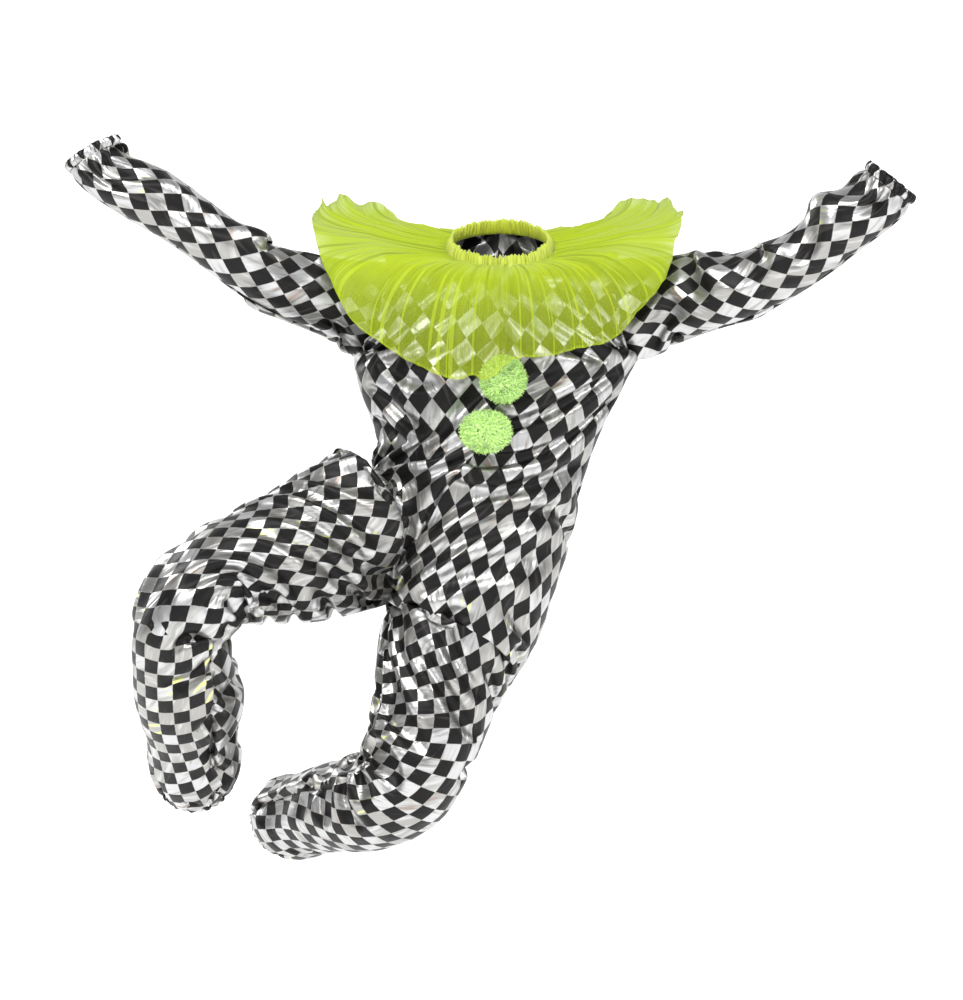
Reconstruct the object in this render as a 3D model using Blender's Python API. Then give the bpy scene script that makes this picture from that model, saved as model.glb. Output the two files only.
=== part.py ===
"""Clown jumpsuit: a one-piece harlequin suit with an organza ruff and two pompoms.

The suit keeps the form of a general figure that leaps: arms spread, one thigh raised,
the other shin swung back.  Metres, +Z up, the front faces -Y.  The origin is the middle
of the neck opening.  "left" and "right" are the viewer's, so left is -X.

Every cloth piece is a thin wall round a grid of points.  A grid's rows run up the body
and its columns run round it.  Pieces that are sewn together share the points and the
normals of their seam, and each stops half a seam gap short of it.
"""
import math
from collections import namedtuple

import bmesh
import bpy
import numpy as np

# Driving dimensions
CLOTH = 0.0015          # wall of the suit's own cloth
ORGANZA = 0.0012        # wall of the ruff
CASING = 0.0020         # wall of the elastic casings and the neckband, cloth folded double
SEAM_GAP = 0.0003       # between two pieces that are sewn together
SIDES = ("left", "right")
HALVES = ("front", "back")
PANEL_COLUMNS = 8       # cells across a front or back panel
HALF_ARMHOLE = 8        # cells along half an armhole, and round half a sleeve
RISE_ROWS = 5           # rows of cells between the top of a leg and the hip line

UP = np.array((0.0, 0.0, 1.0))

# Torso sections, top down: centre, half sizes, and in degrees the turn of the centre front
# towards the right, the roll that lifts the left side, and the pitch that lifts the front.
Torso = namedtuple("Torso", "name x y z half_width half_depth turn roll pitch")
TORSO = (
    Torso("underarm", -0.006, 0.000, -0.178, 0.224, 0.122, 4, 0, 0),
    Torso("chest", -0.014, 0.000, -0.225, 0.208, 0.130, 5, 0, 0),
    Torso("ribs", -0.020, 0.000, -0.274, 0.186, 0.130, 2, 2, 0),
    Torso("waist", -0.026, 0.000, -0.320, 0.169, 0.128, 0, 5, 4),
    Torso("belly", -0.036, 0.002, -0.364, 0.165, 0.132, -4, 9, 8),
    Torso("hip", -0.047, 0.006, -0.404, 0.168, 0.138, -9, 15, 10),
)
TORSO_ROWS = 9

# Neckline, where the body, the band and the ruff are sewn together
NECK_CENTRE = np.array((0.0, 0.0, -0.012))
NECK_HALF_WIDTH = 0.083
NECK_HALF_DEPTH = 0.078
NECK_TILT = math.radians(28)        # the front lies lower than the nape
NECK_SLOPE = np.array((0.0, math.cos(NECK_TILT), math.sin(NECK_TILT)))
BAND_HEIGHT = 0.024
BAND_START = 0.0016     # clear of the upper faces of the panels that it is sewn to
BAND_GATHERS = 30
BAND_RIPPLE = 0.0011
BAND_LEAN = 0.25        # inward lean of the band as a part of its height
BAND_ROWS = 3

# Tube sections of a leg or sleeve, from the body outwards: centre, half width from seam
# side to outer side, half depth to the front and back, and the twist of the seam.
Tube = namedtuple("Tube", "name x y z half_width half_front half_back twist")
LEG_LEFT = (
    Tube("root", -0.236, -0.066, -0.454, 0.108, 0.136, 0.120, -48),
    Tube("thigh", -0.306, -0.114, -0.484, 0.108, 0.114, 0.114, -32),
    Tube("above knee", -0.376, -0.166, -0.508, 0.092, 0.092, 0.094, -14),
    Tube("knee top", -0.437, -0.205, -0.536, 0.082, 0.082, 0.064, 0),
    Tube("knee", -0.474, -0.212, -0.585, 0.078, 0.080, 0.055, 0),
    Tube("knee foot", -0.480, -0.180, -0.640, 0.076, 0.078, 0.062, 0),
    Tube("calf", -0.484, -0.110, -0.715, 0.078, 0.079, 0.080, 0),
    Tube("shin", -0.487, -0.050, -0.780, 0.066, 0.066, 0.068, 0),
    Tube("puff", -0.489, 0.008, -0.834, 0.068, 0.068, 0.068, 0),
    Tube("ankle", -0.494, 0.038, -0.864, 0.056, 0.056, 0.056, 0),
)
LEG_RIGHT = (
    Tube("root", -0.057, -0.004, -0.606, 0.112, 0.114, 0.118, -22),
    Tube("thigh", -0.086, -0.022, -0.668, 0.104, 0.104, 0.104, -12),
    Tube("above knee", -0.107, -0.038, -0.735, 0.092, 0.092, 0.092, -4),
    Tube("knee top", -0.128, -0.052, -0.798, 0.086, 0.085, 0.080, 0),
    Tube("knee", -0.154, -0.052, -0.852, 0.082, 0.083, 0.070, 0),
    Tube("knee foot", -0.196, -0.016, -0.884, 0.077, 0.078, 0.070, 0),
    Tube("calf", -0.262, 0.066, -0.902, 0.076, 0.076, 0.076, 0),
    Tube("shin", -0.310, 0.130, -0.920, 0.071, 0.071, 0.071, 0),
    Tube("puff", -0.344, 0.180, -0.940, 0.071, 0.069, 0.069, 0),
    Tube("ankle", -0.364, 0.210, -0.952, 0.054, 0.054, 0.054, 0),
)
LEGS = {"left": LEG_LEFT, "right": LEG_RIGHT}
LEG_ROWS = 21
# Outer side of each leg, square to the plane that its knee bends in
LEG_OUTER = {"left": np.array((-0.57, 0.59, 0.57)), "right": np.array((0.76, 0.54, -0.37))}
CROTCH = np.array((-0.178, -0.030, -0.569))
RISE_START_PULL = 0.5   # how strongly the rise follows the leg, and then the torso
RISE_END_PULL = 0.6
RISE_BLEND = 0.45       # part of a panel's width that turns towards the crotch's own curve
RISE_FRONT = np.array((0.30, -0.95, 0.05))      # how the rise leaves the crotch point
RISE_BACK = np.array((0.35, 0.90, -0.20))
APART = 0.010           # how far the legs' inner sides stay off the plane between them
APART_STEP = 0.0015     # and how much further with each row down
APART_ROWS = 9
CROTCH_PULL_ROWS = 6    # rows of a leg that lean towards the crotch point
CROTCH_LEAN = 0.12      # how far the rows below the first one lean

SLEEVE_LEFT = (
    Tube("head", -0.263, -0.040, -0.083, 0.065, 0.055, 0.064, 0),
    Tube("upper arm", -0.315, -0.080, -0.071, 0.058, 0.053, 0.058, 0),
    Tube("elbow top", -0.371, -0.118, -0.051, 0.049, 0.052, 0.052, 0),
    Tube("elbow", -0.416, -0.134, -0.020, 0.046, 0.051, 0.051, 0),
    Tube("forearm", -0.475, -0.142, 0.023, 0.046, 0.050, 0.050, 0),
    Tube("puff", -0.537, -0.146, 0.063, 0.049, 0.050, 0.050, 0),
    Tube("wrist", -0.608, -0.148, 0.103, 0.042, 0.043, 0.043, 0),
    Tube("cuff", -0.624, -0.148, 0.115, 0.040, 0.040, 0.040, 0),
)
SLEEVE_RIGHT = (
    Tube("head", 0.275, -0.044, -0.085, 0.070, 0.056, 0.064, 0),
    Tube("upper arm", 0.329, -0.084, -0.079, 0.060, 0.053, 0.058, 0),
    Tube("elbow top", 0.381, -0.122, -0.070, 0.053, 0.054, 0.054, 0),
    Tube("elbow", 0.426, -0.146, -0.051, 0.048, 0.052, 0.052, 0),
    Tube("forearm", 0.474, -0.164, -0.022, 0.046, 0.050, 0.050, 0),
    Tube("puff", 0.521, -0.182, 0.019, 0.050, 0.051, 0.051, 0),
    Tube("wrist", 0.571, -0.198, 0.052, 0.044, 0.044, 0.044, 0),
    Tube("cuff", 0.587, -0.204, 0.065, 0.041, 0.041, 0.041, 0),
)
SLEEVES = {"left": SLEEVE_LEFT, "right": SLEEVE_RIGHT}
SLEEVE_ROWS = 14
SLEEVE_JOIN = (0.33, 0.66)      # rows between the armhole and the sleeve's first section
SLEEVE_OUTWARD = np.array((0.95, -0.30, 0.0))   # how the right sleeve leaves its armhole
UNDERARM_ROW = LEG_ROWS + RISE_ROWS + TORSO_ROWS
# Rows where a panel's inner edge and its outer edge turn a corner
PANEL_CORNERS = ((LEG_ROWS, UNDERARM_ROW + HALF_ARMHOLE // 2), (UNDERARM_ROW,))
SLEEVE_SLANT = {"left": 0.018, "right": 0.010}   # how far the cuff's underside leads

# Armholes: the point at the top of each shoulder and how far the curve swings out
SHOULDER = {"left": np.array((-0.186, 0.006, -0.020)), "right": np.array((0.190, 0.006, -0.020))}
ARMHOLE_DEPTH = 0.064
ARMHOLE_INSET = 0.024

# Elastic casings at the wrists and ankles
CASING_WIDTH = 0.014
CASING_START = 0.0009   # clear of the edge that it is sewn to, at its gathers too
CASING_GATHERS = 14
CASING_RIPPLE = 0.0022
CASING_SWELL = 1.035    # girth of a casing's middle over its edges

# Ruff: one gathered circle of organza.  Reach is sideways from the neckline and drop is
# down from it, each towards one quarter of the body.  A high power keeps the fall of the
# front or back to its middle.
Quarter = namedtuple("Quarter", "name reach drop power")
RUFF_FRONT = Quarter("front", 0.124, 0.196, 1.3)
RUFF_SIDE = Quarter("side", 0.206, -0.044, 1.0)
RUFF_BACK = Quarter("back", 0.120, 0.200, 3.0)
RUFF_WAVES = 30
RUFF_WAVE_COLUMNS = 6
RUFF_ROWS = 5
RUFF_WAVE_HEM = 0.0105
RUFF_WAVE_NECK = 0.0007
RUFF_STAND = 0.018      # the ruff's mean height over the cloth that it lies on
RUFF_STAND_PART = 0.4   # part of the way to the hem at which it has that height
RUFF_START_OUT = 0.0038     # where the ruff starts, clear of the band and of the panels
RUFF_START_UP = 0.0030
RUFF_REACH_POWER = 5        # the reach shortens only close to the front and back
RUFF_LIFT = 0.034           # the upper pompom lifts the hem, just right of the front
RUFF_LIFT_ANGLE = math.radians(19)
RUFF_LIFT_WIDTH = math.radians(15)

# Pompoms on the centre front: height of the centre, half height of the ball, half width
Pompom = namedtuple("Pompom", "name z half_width half_height half_depth")
POMPOMS = (
    Pompom("pompom_upper", -0.226, 0.037, 0.038, 0.033),
    Pompom("pompom_lower", -0.306, 0.041, 0.034, 0.032),
)
POMPOM_CORE = 0.62      # core radius as a part of the whole
LOCK_INSET = 0.02       # half the gap between the roots of two locks
LOCK_TIP = 1.1          # width of a lock's tip as a part of its root
FRONT_LIMIT = -0.08     # the centre-front seam lies in front of this

# Back placket: the lapped strip over the opening down the centre back
PLACKET_WIDTH = 0.034
PLACKET_LIFT = 0.0012
PLACKET_TOP_ROW = 5
PLACKET_ROWS = 10

# Largest folds on the cloth, as ridges (height > 0) or troughs (height < 0) between two
# points, seen square on from the front (facing 1) or from behind (facing -1).
Fold = namedtuple("Fold", "name facing x0 z0 x1 z1 half_width height")
FOLDS = (
    Fold("waist pull, upper", 1, -0.010, -0.382, 0.124, -0.286, 0.016, 0.009),
    Fold("waist pull, lower", 1, -0.010, -0.452, 0.104, -0.405, 0.017, 0.008),
    Fold("waist pull, hollow", 1, 0.000, -0.420, 0.118, -0.345, 0.016, -0.006),
    Fold("groin crease", 1, -0.196, -0.320, -0.058, -0.352, 0.018, -0.012),
    Fold("side drape, left", 1, -0.168, -0.215, -0.140, -0.310, 0.014, 0.008),
    Fold("side drape, right", 1, 0.176, -0.210, 0.136, -0.300, 0.014, 0.007),
    Fold("thigh pull", 1, -0.210, -0.395, -0.370, -0.470, 0.018, 0.006),
    Fold("thigh underside", 1, -0.190, -0.560, -0.350, -0.590, 0.018, 0.007),
    Fold("hip pull, right leg", 1, -0.150, -0.590, 0.010, -0.560, 0.018, 0.007),
    Fold("knee pull, right leg", 1, -0.180, -0.800, -0.070, -0.760, 0.018, 0.006),
    Fold("seat fold, left", -1, -0.200, -0.470, -0.080, -0.530, 0.020, 0.010),
    Fold("seat fold, right", -1, -0.060, -0.560, 0.080, -0.500, 0.020, 0.010),
    Fold("back pull, left", -1, -0.150, -0.340, -0.020, -0.400, 0.018, 0.008),
    Fold("back pull, right", -1, 0.120, -0.330, 0.000, -0.390, 0.018, 0.008),
)

NORMAL_FOLD_FACING = 2.0    # how fast a fold fades where the cloth turns away
SHARP_ANGLE = math.radians(40)

# Finish of each kind of piece: base colour, roughness, metallic
MATERIALS = {
    "harlequin": ((0.42, 0.42, 0.42), 0.35, 0.6),
    "organza": ((0.62, 0.83, 0.05), 0.6, 0.0),
    "neon": ((0.68, 0.90, 0.04), 0.55, 0.0),
    "pompom": ((0.46, 0.90, 0.30), 0.9, 0.0),
}


def unit(vector):
    return vector / np.linalg.norm(vector)


def unit_rows(vectors):
    return vectors / np.maximum(np.linalg.norm(vectors, axis=-1, keepdims=True), 1e-12)


def square_to(vector, axis):
    """The part of a vector that is square to an axis, as a unit vector."""
    return unit(vector - axis * np.dot(vector, axis))


def sample(table, count):
    """Rows evenly spaced along a table's centres, on a curve through every row."""
    rows = np.array([row[1:] for row in table], dtype=float)
    steps = np.linalg.norm(np.diff(rows[:, :3], axis=0), axis=1)
    knots = np.concatenate(([0.0], np.cumsum(steps)))
    slopes = np.gradient(rows, knots, axis=0)
    places = np.linspace(0.0, knots[-1], count + 1)
    cell = np.clip(np.searchsorted(knots, places, side="right") - 1, 0, len(steps) - 1)
    length = steps[cell][:, None]
    part = (places[:, None] - knots[cell][:, None]) / length
    return hermite(rows[cell], rows[cell + 1], slopes[cell] * length, slopes[cell + 1] * length, part)


def hermite(start, end, start_slope, end_slope, part):
    """Cubic between two points with the given slopes."""
    square, cube = part ** 2, part ** 3
    return ((2 * cube - 3 * square + 1) * start + (cube - 2 * square + part) * start_slope
            + (3 * square - 2 * cube) * end + (cube - square) * end_slope)


def torso_row(section, side, half):
    """Points of one section from the centre front or back round to the side seam."""
    centre, (half_width, half_depth, turn, roll, pitch) = section[:3], section[3:]
    across = np.array((math.cos(math.radians(roll)), 0.0, -math.sin(math.radians(roll))))
    front = np.array((0.0, -math.cos(math.radians(pitch)), math.sin(math.radians(pitch))))
    sign = -1.0 if side == "left" else 1.0
    start = 0.0 if half == "front" else 180.0
    middle = sign * start + turn
    seam = sign * 90.0
    angles = np.radians(np.linspace(middle, seam, PANEL_COLUMNS + 1))
    return (centre + half_width * np.sin(angles)[:, None] * across
            + half_depth * np.cos(angles)[:, None] * front)


def tube_frames(stations, outer):
    """Tangent, outer and front direction at each section of a leg."""
    tangents = unit_rows(np.gradient(stations[:, :3], axis=0))
    outers = np.array([square_to(outer, tangent) for tangent in tangents])
    return tangents, outers


def leg_rows(table, side, half):
    """Rows of one leg panel, from the crotch line down, inseam to side seam."""
    stations = sample(table, LEG_ROWS)
    tangents, outers = tube_frames(stations, LEG_OUTER[side])
    fronts = np.cross(outers, tangents) if side == "left" else np.cross(tangents, outers)
    end = math.pi if half == "front" else -math.pi
    rows = []
    for index, (station, outer, front) in enumerate(zip(stations, outers, fronts)):
        half_width, half_front, half_back, twist = station[3:]
        angles = np.linspace(0.0, end, PANEL_COLUMNS + 1) + math.radians(twist)
        depth = np.where(np.sin(angles) > 0, half_front, half_back)
        row = (station[:3] - half_width * np.cos(angles)[:, None] * outer
               + (depth * np.sin(angles))[:, None] * front)
        rows.append(row + crotch_pull(index, station[:3], row[0]))
    return np.array(rows)


def crotch_pull(index, centre, inseam):
    """Shift of a leg row that brings its inseam over to the crotch point."""
    if index >= CROTCH_PULL_ROWS:
        return 0.0
    fade = (1.0 - index / CROTCH_PULL_ROWS) ** 2
    along = np.cos(np.linspace(0.0, math.pi / 2, PANEL_COLUMNS + 1)) ** 2
    target = CROTCH if index == 0 else inseam + (CROTCH - centre) * CROTCH_LEAN
    return fade * along[:, None] * (target - inseam)


def middle_plane(hip_front, hip_back):
    """Normal of the plane that holds the whole rise; it points to the left leg's side."""
    return unit(np.cross(hip_front - CROTCH, hip_back - CROTCH))


def kept_apart(row, side, plane, floor):
    """A row pushed off the middle plane, so that the two legs press but never cross."""
    sign = 1.0 if side == "left" else -1.0
    distance = sign * (row - CROTCH) @ plane
    return row + sign * np.maximum(floor - distance, 0.0)[:, None] * plane


def separate_legs(leg, side, plane):
    """The upper rows of a leg, each kept on its own side of the middle plane."""
    across = np.linspace(0.0, 1.0, PANEL_COLUMNS + 1)
    rows = leg.copy()
    for index in range(APART_ROWS):
        floor = APART * (1.0 - (1.0 - across) ** 3) + APART_STEP * index
        rows[index] = kept_apart(leg[index], side, plane, floor)
    return rows


def rise_rows(leg, torso, side, half, plane):
    """Rows from the crotch line up to the hip line, with the curve of the rise."""
    low, high = leg[0], torso[-1]
    chord = np.linalg.norm(high - low, axis=1, keepdims=True)
    along_leg = unit_rows(leg[0] - leg[1])
    rise_start = square_to(RISE_FRONT if half == "front" else RISE_BACK, plane)
    across = np.linspace(0.0, 1.0, PANEL_COLUMNS + 1)
    blend = np.clip(1.0 - across / RISE_BLEND, 0.0, 1.0)[:, None]
    start = unit_rows(along_leg * (1.0 - blend) + rise_start * blend) * chord * RISE_START_PULL
    end = unit_rows(torso[-2] - torso[-1]) * chord * RISE_END_PULL
    end[0] = square_to(end[0], plane) * np.linalg.norm(end[0])
    rows = []
    for step in range(1, RISE_ROWS):
        row = hermite(low, high, start, end, step / RISE_ROWS)
        floor = APART * (1.0 - (1.0 - across) ** 3)
        floor[0] = -1.0
        rows.append(kept_apart(row, side, plane, floor))
    return rows


def neckline(angle):
    """A point of the neckline; 0 is the centre front and a quarter turn the right side."""
    return (NECK_CENTRE + np.array((NECK_HALF_WIDTH * math.sin(angle), 0.0, 0.0))
            - NECK_HALF_DEPTH * math.cos(angle) * NECK_SLOPE)


def armhole(side, half, underarm):
    """Points of half an armhole from the underarm up to the shoulder."""
    shoulder = SHOULDER[side]
    swing = -ARMHOLE_DEPTH if half == "front" else ARMHOLE_DEPTH
    inward = ARMHOLE_INSET if side == "left" else -ARMHOLE_INSET
    part = np.linspace(0.0, math.pi, HALF_ARMHOLE + 1)[:, None]
    middle = (underarm + shoulder) / 2
    return (middle + (underarm - shoulder) / 2 * np.cos(part)
            + np.sin(part) * np.array((inward, swing, 0.0)))


def yoke_rows(underarm_row, side, half):
    """Rows from the underarm up to the shoulder seam, blended from their four edges."""
    sign = -1.0 if side == "left" else 1.0
    start = 0.0 if half == "front" else math.pi
    centre_rows = HALF_ARMHOLE // 2
    middle, neck_point = underarm_row[0], neckline(sign * start)
    rising = [middle + (neck_point - middle) * step / centre_rows for step in range(centre_rows)]
    turning = [neckline(sign * angle) for angle in np.linspace(start, math.pi / 2, centre_rows + 1)]
    inner = np.array(rising + turning)
    outer = armhole(side, half, underarm_row[-1])
    across = np.linspace(0.0, 1.0, PANEL_COLUMNS + 1)[:, None]
    shoulder_seam = inner[-1] + (outer[-1] - inner[-1]) * across
    rows = []
    for step in range(1, HALF_ARMHOLE + 1):
        up = step / HALF_ARMHOLE
        sides = inner[step] * (1 - across) + outer[step] * across
        ends = underarm_row * (1 - up) + shoulder_seam * up
        corners = ((underarm_row[0] * (1 - up) + shoulder_seam[0] * up) * (1 - across)
                   + (underarm_row[-1] * (1 - up) + shoulder_seam[-1] * up) * across)
        rows.append(sides + ends - corners)
    return rows


def body_grid(side, half):
    """One body panel, ankle to shoulder, centre or inseam to side seam and armhole."""
    sections = sample(TORSO, TORSO_ROWS)
    torso = np.array([torso_row(section, side, half) for section in sections])
    hip_front, hip_back = (torso_row(sections[-1], side, name)[0] for name in ("front", "back"))
    plane = middle_plane(hip_front, hip_back)
    leg = separate_legs(leg_rows(LEGS[side], side, half), side, plane)
    rows = list(leg[::-1]) + rise_rows(leg, torso, side, half, plane) + list(torso[::-1])
    return np.array(rows + yoke_rows(torso[0], side, half))


def sleeve_grid(side, front, back):
    """A sleeve from its armhole to its cuff, round from the underarm by the front."""
    loop = np.concatenate((front[-HALF_ARMHOLE - 1:, -1], back[-2:-HALF_ARMHOLE - 1:-1, -1]))
    stations = sample(SLEEVES[side], SLEEVE_ROWS)
    tangents, downs = tube_frames(stations, -UP)
    fronts = np.cross(downs, tangents) if side == "right" else np.cross(tangents, downs)
    angles = np.linspace(0.0, 2 * math.pi, 2 * HALF_ARMHOLE, endpoint=False)
    rings = []
    for index, (station, tangent, down, ahead) in enumerate(zip(stations, tangents, downs, fronts)):
        half_width, half_front, half_back, _ = station[3:]
        depth = np.where(np.sin(angles) > 0, half_front, half_back)
        slant = SLEEVE_SLANT[side] * (index / SLEEVE_ROWS) ** 3
        rings.append(station[:3] + (half_width * np.cos(angles))[:, None] * down
                     + (depth * np.sin(angles))[:, None] * ahead
                     + (slant * np.cos(angles))[:, None] * tangent)
    outward = SLEEVE_OUTWARD * np.array((-1.0 if side == "left" else 1.0, 1.0, 1.0))
    chord = np.linalg.norm(rings[0] - loop, axis=1, keepdims=True)
    join = [hermite(loop, rings[0], outward * chord, unit_rows(rings[1] - rings[0]) * chord, part)
            for part in SLEEVE_JOIN]
    return np.array([loop] + join + rings)


def point_normals(grid, flip, closed):
    """Unit normals at the points of one grid."""
    wrapped = np.concatenate((grid, grid[:, :1]), axis=1) if closed else grid
    across, up = wrapped[:-1, 1:] - wrapped[1:, :-1], wrapped[1:, 1:] - wrapped[:-1, :-1]
    faces = np.cross(across, up) * (-1.0 if flip else 1.0)
    sums = np.zeros_like(grid)
    columns = np.arange(faces.shape[1])
    for over in (0, 1):
        target = (columns + over) % grid.shape[1]
        sums[:-1, target] += faces
        sums[1:, target] += faces
    return unit_rows(sums)


def shared_normals(grids, flips, closed):
    """Normals of each grid; where grids share a point, halfway between their own normals."""
    own = {name: point_normals(grid, flips[name], closed[name]) for name, grid in grids.items()}
    keys = {name: [[tuple(point) for point in row] for row in np.round(grid, 6)]
            for name, grid in grids.items()}
    sums = {}
    for name, normals in own.items():
        for key_row, normal_row in zip(keys[name], normals):
            for key, normal in zip(key_row, normal_row):
                sums[key] = sums.get(key, 0.0) + normal
    return {name: unit_rows(np.array([[sums[key] for key in row] for row in rows]))
            for name, rows in keys.items()}


def fold_height(points, normals):
    """How far the large folds move each point out along its normal."""
    height = np.zeros(points.shape[:-1])
    for fold in FOLDS:
        start, end = np.array((fold.x0, fold.z0)), np.array((fold.x1, fold.z1))
        offset = points[..., [0, 2]] - start
        along = np.clip(offset @ (end - start) / np.dot(end - start, end - start), 0.0, 1.0)
        gap = np.linalg.norm(offset - along[..., None] * (end - start), axis=-1)
        facing = np.clip(-normals[..., 1] * fold.facing * NORMAL_FOLD_FACING, 0.0, 1.0)
        height += fold.height * np.exp(-(gap / fold.half_width) ** 2) * facing
    return height


def edge_runs(shape, closed, corners):
    """Runs of edge points, each with the points just inside it, split at the corners."""
    rows, columns = shape[:2]
    around = np.arange(columns)
    runs = [((0, around), (1, around)), ((rows - 1, around), (rows - 2, around))]
    if not closed:
        for column, inside, turns in ((0, 1, corners[0]), (columns - 1, columns - 2, corners[1])):
            stops = [0, *turns, rows - 1]
            for start, stop in zip(stops[:-1], stops[1:]):
                run = np.arange(start, stop + 1)
                runs.append(((run, column), (run, inside)))
    return runs


def trimmed(grid, normals, closed, corners):
    """A grid whose free edges stop half a seam gap short, square to edge and normal."""
    points = grid.copy()
    for edge, inside in edge_runs(grid.shape, closed, corners):
        line = grid[edge]
        if closed:
            tangent = unit_rows(np.roll(line, -1, axis=0) - np.roll(line, 1, axis=0))
        else:
            tangent = unit_rows(np.gradient(line, axis=0))
        inward = unit_rows(np.cross(normals[edge], tangent))
        towards = np.sum((grid[inside] - line) * inward, axis=1, keepdims=True)
        points[edge] += inward * np.where(towards > 0, 1.0, -1.0) * SEAM_GAP / 2
    return points


def wall_mesh(name, inner, outer, closed, flip, material):
    """One closed solid between two grids of the same shape, joined round their edges."""
    rows, columns = inner.shape[:2]
    mesh = bpy.data.meshes.new(name)
    work = bmesh.new()
    verts = [[[work.verts.new(point) for point in row] for row in layer] for layer in (inner, outer)]
    spans = range(columns if closed else columns - 1)
    for row in range(rows - 1):
        for column in spans:
            after = (column + 1) % columns
            for layer, reverse in ((verts[0], not flip), (verts[1], flip)):
                face = [layer[row][column], layer[row][after], layer[row + 1][after], layer[row + 1][column]]
                work.faces.new(face[::-1] if reverse else face)
    rims = [[(0, column), (0, (column + 1) % columns)] for column in spans]
    rims += [[(rows - 1, (column + 1) % columns), (rows - 1, column)] for column in spans]
    if not closed:
        rims += [[(row + 1, 0), (row, 0)] for row in range(rows - 1)]
        rims += [[(row, columns - 1), (row + 1, columns - 1)] for row in range(rows - 1)]
    for (row_a, column_a), (row_b, column_b) in rims:
        face = [verts[0][row_a][column_a], verts[0][row_b][column_b],
                verts[1][row_b][column_b], verts[1][row_a][column_a]]
        work.faces.new(face[::-1] if flip else face)
    bmesh.ops.triangulate(work, faces=work.faces, quad_method="SHORT_EDGE")
    work.to_mesh(mesh)
    work.free()
    return add_object(name, mesh, material)


def add_object(name, mesh, material):
    mesh.shade_smooth()
    mesh.set_sharp_from_angle(angle=SHARP_ANGLE)
    mesh.materials.append(materials[material])
    part = bpy.data.objects.new(name, mesh)
    bpy.context.collection.objects.link(part)
    return part


def cloth_piece(name, grid, normals, thickness, closed, flip, material="harlequin", corners=((), ())):
    """A sewn piece: its grid trimmed at the seams and given its wall."""
    points = trimmed(grid, normals, closed, corners)
    half = normals * thickness / 2
    return wall_mesh(name, points - half, points + half, closed, flip, material)


def make_material(name, colour, roughness, metallic):
    material = bpy.data.materials.new(name)
    material.use_nodes = True
    shader = material.node_tree.nodes["Principled BSDF"]
    shader.inputs["Base Color"].default_value = (*colour, 1.0)
    shader.inputs["Roughness"].default_value = roughness
    shader.inputs["Metallic"].default_value = metallic
    return material


def casing_piece(name, edge, before, flip):
    """A gathered elastic casing that carries on from the edge of a leg or sleeve."""
    onward = unit(np.mean(edge - before, axis=0))
    ring = resample_loop(edge, CASING_GATHERS * 2)
    centre = ring.mean(axis=0)
    ripple = np.where(np.arange(len(ring)) % 2 == 0, 1.0, -1.0)[:, None] * CASING_RIPPLE / 2
    gathered = ring + unit_rows(ring - centre) * ripple
    rows = []
    for step, swell in enumerate((1.0, CASING_SWELL, 1.0)):
        place = CASING_START + CASING_WIDTH * step / 2
        rows.append(centre + (gathered - centre) * swell + onward * place)
    rows = np.array(rows)
    normals = point_normals(rows, flip, True)
    return cloth_piece(name, rows, normals, CASING, True, flip)


def resample_loop(loop, count):
    """A closed loop with evenly spaced points."""
    closed = np.concatenate((loop, loop[:1]))
    places = np.concatenate(([0.0], np.cumsum(np.linalg.norm(np.diff(closed, axis=0), axis=1))))
    wanted = np.linspace(0.0, places[-1], count, endpoint=False)
    return np.stack([np.interp(wanted, places, closed[:, axis]) for axis in range(3)], axis=1)


def ruff_quarter(angle):
    """Reach and drop of the ruff in one direction round the neck."""
    low = abs(math.cos(angle))
    end = RUFF_FRONT if math.cos(angle) > 0 else RUFF_BACK
    reach = RUFF_SIDE.reach + (end.reach - RUFF_SIDE.reach) * low ** RUFF_REACH_POWER
    drop = RUFF_SIDE.drop + (end.drop - RUFF_SIDE.drop) * low ** end.power
    lift = RUFF_LIFT * math.exp(-((angle - RUFF_LIFT_ANGLE) / RUFF_LIFT_WIDTH) ** 2)
    return reach, drop - lift


def ruff_point(angle, part):
    """A point of the ruff; part runs from 0 at the neck seam to 1 at the hem."""
    outward = np.array((math.sin(angle), -math.cos(angle), 0.0))
    reach, drop = ruff_quarter(angle)
    bend = math.sin(part * math.pi / 2)
    sink = 1.0 - math.cos(part * math.pi / 2)
    normal = unit(outward * max(drop, 0.0) + UP * reach)
    wave_height = RUFF_WAVE_NECK + (RUFF_WAVE_HEM - RUFF_WAVE_NECK) * part
    rise = wave_height * math.cos(RUFF_WAVES * angle) + RUFF_STAND * min(1.0, part / RUFF_STAND_PART)
    return (neckline(angle) + outward * (RUFF_START_OUT + reach * bend)
            + UP * (RUFF_START_UP - drop * sink) + normal * rise)


def ruff_grid():
    """The ruff from the neck seam to its hem, with its waves."""
    angles = np.linspace(0.0, 2 * math.pi, RUFF_WAVES * RUFF_WAVE_COLUMNS, endpoint=False)
    parts = np.linspace(0.0, 1.0, RUFF_ROWS + 1)
    return np.array([[ruff_point(angle, part) for angle in angles] for part in parts])


def band_grid():
    """The ruched neckband, standing on the neckline."""
    angles = np.linspace(0.0, 2 * math.pi, BAND_GATHERS * 2, endpoint=False)
    outwards = np.stack((np.sin(angles), -np.cos(angles), np.zeros_like(angles)), axis=1)
    start = np.array([neckline(angle) for angle in angles])
    ripple = np.where(np.arange(len(angles)) % 2 == 0, -1.0, 1.0)[:, None] * BAND_RIPPLE * outwards
    rows = []
    for part in np.linspace(0.0, 1.0, BAND_ROWS + 1):
        height = BAND_START + BAND_HEIGHT * part
        rows.append(start + (UP - BAND_LEAN * outwards) * height + ripple * math.cos(part * math.pi / 2))
    return np.array(rows)


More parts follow.
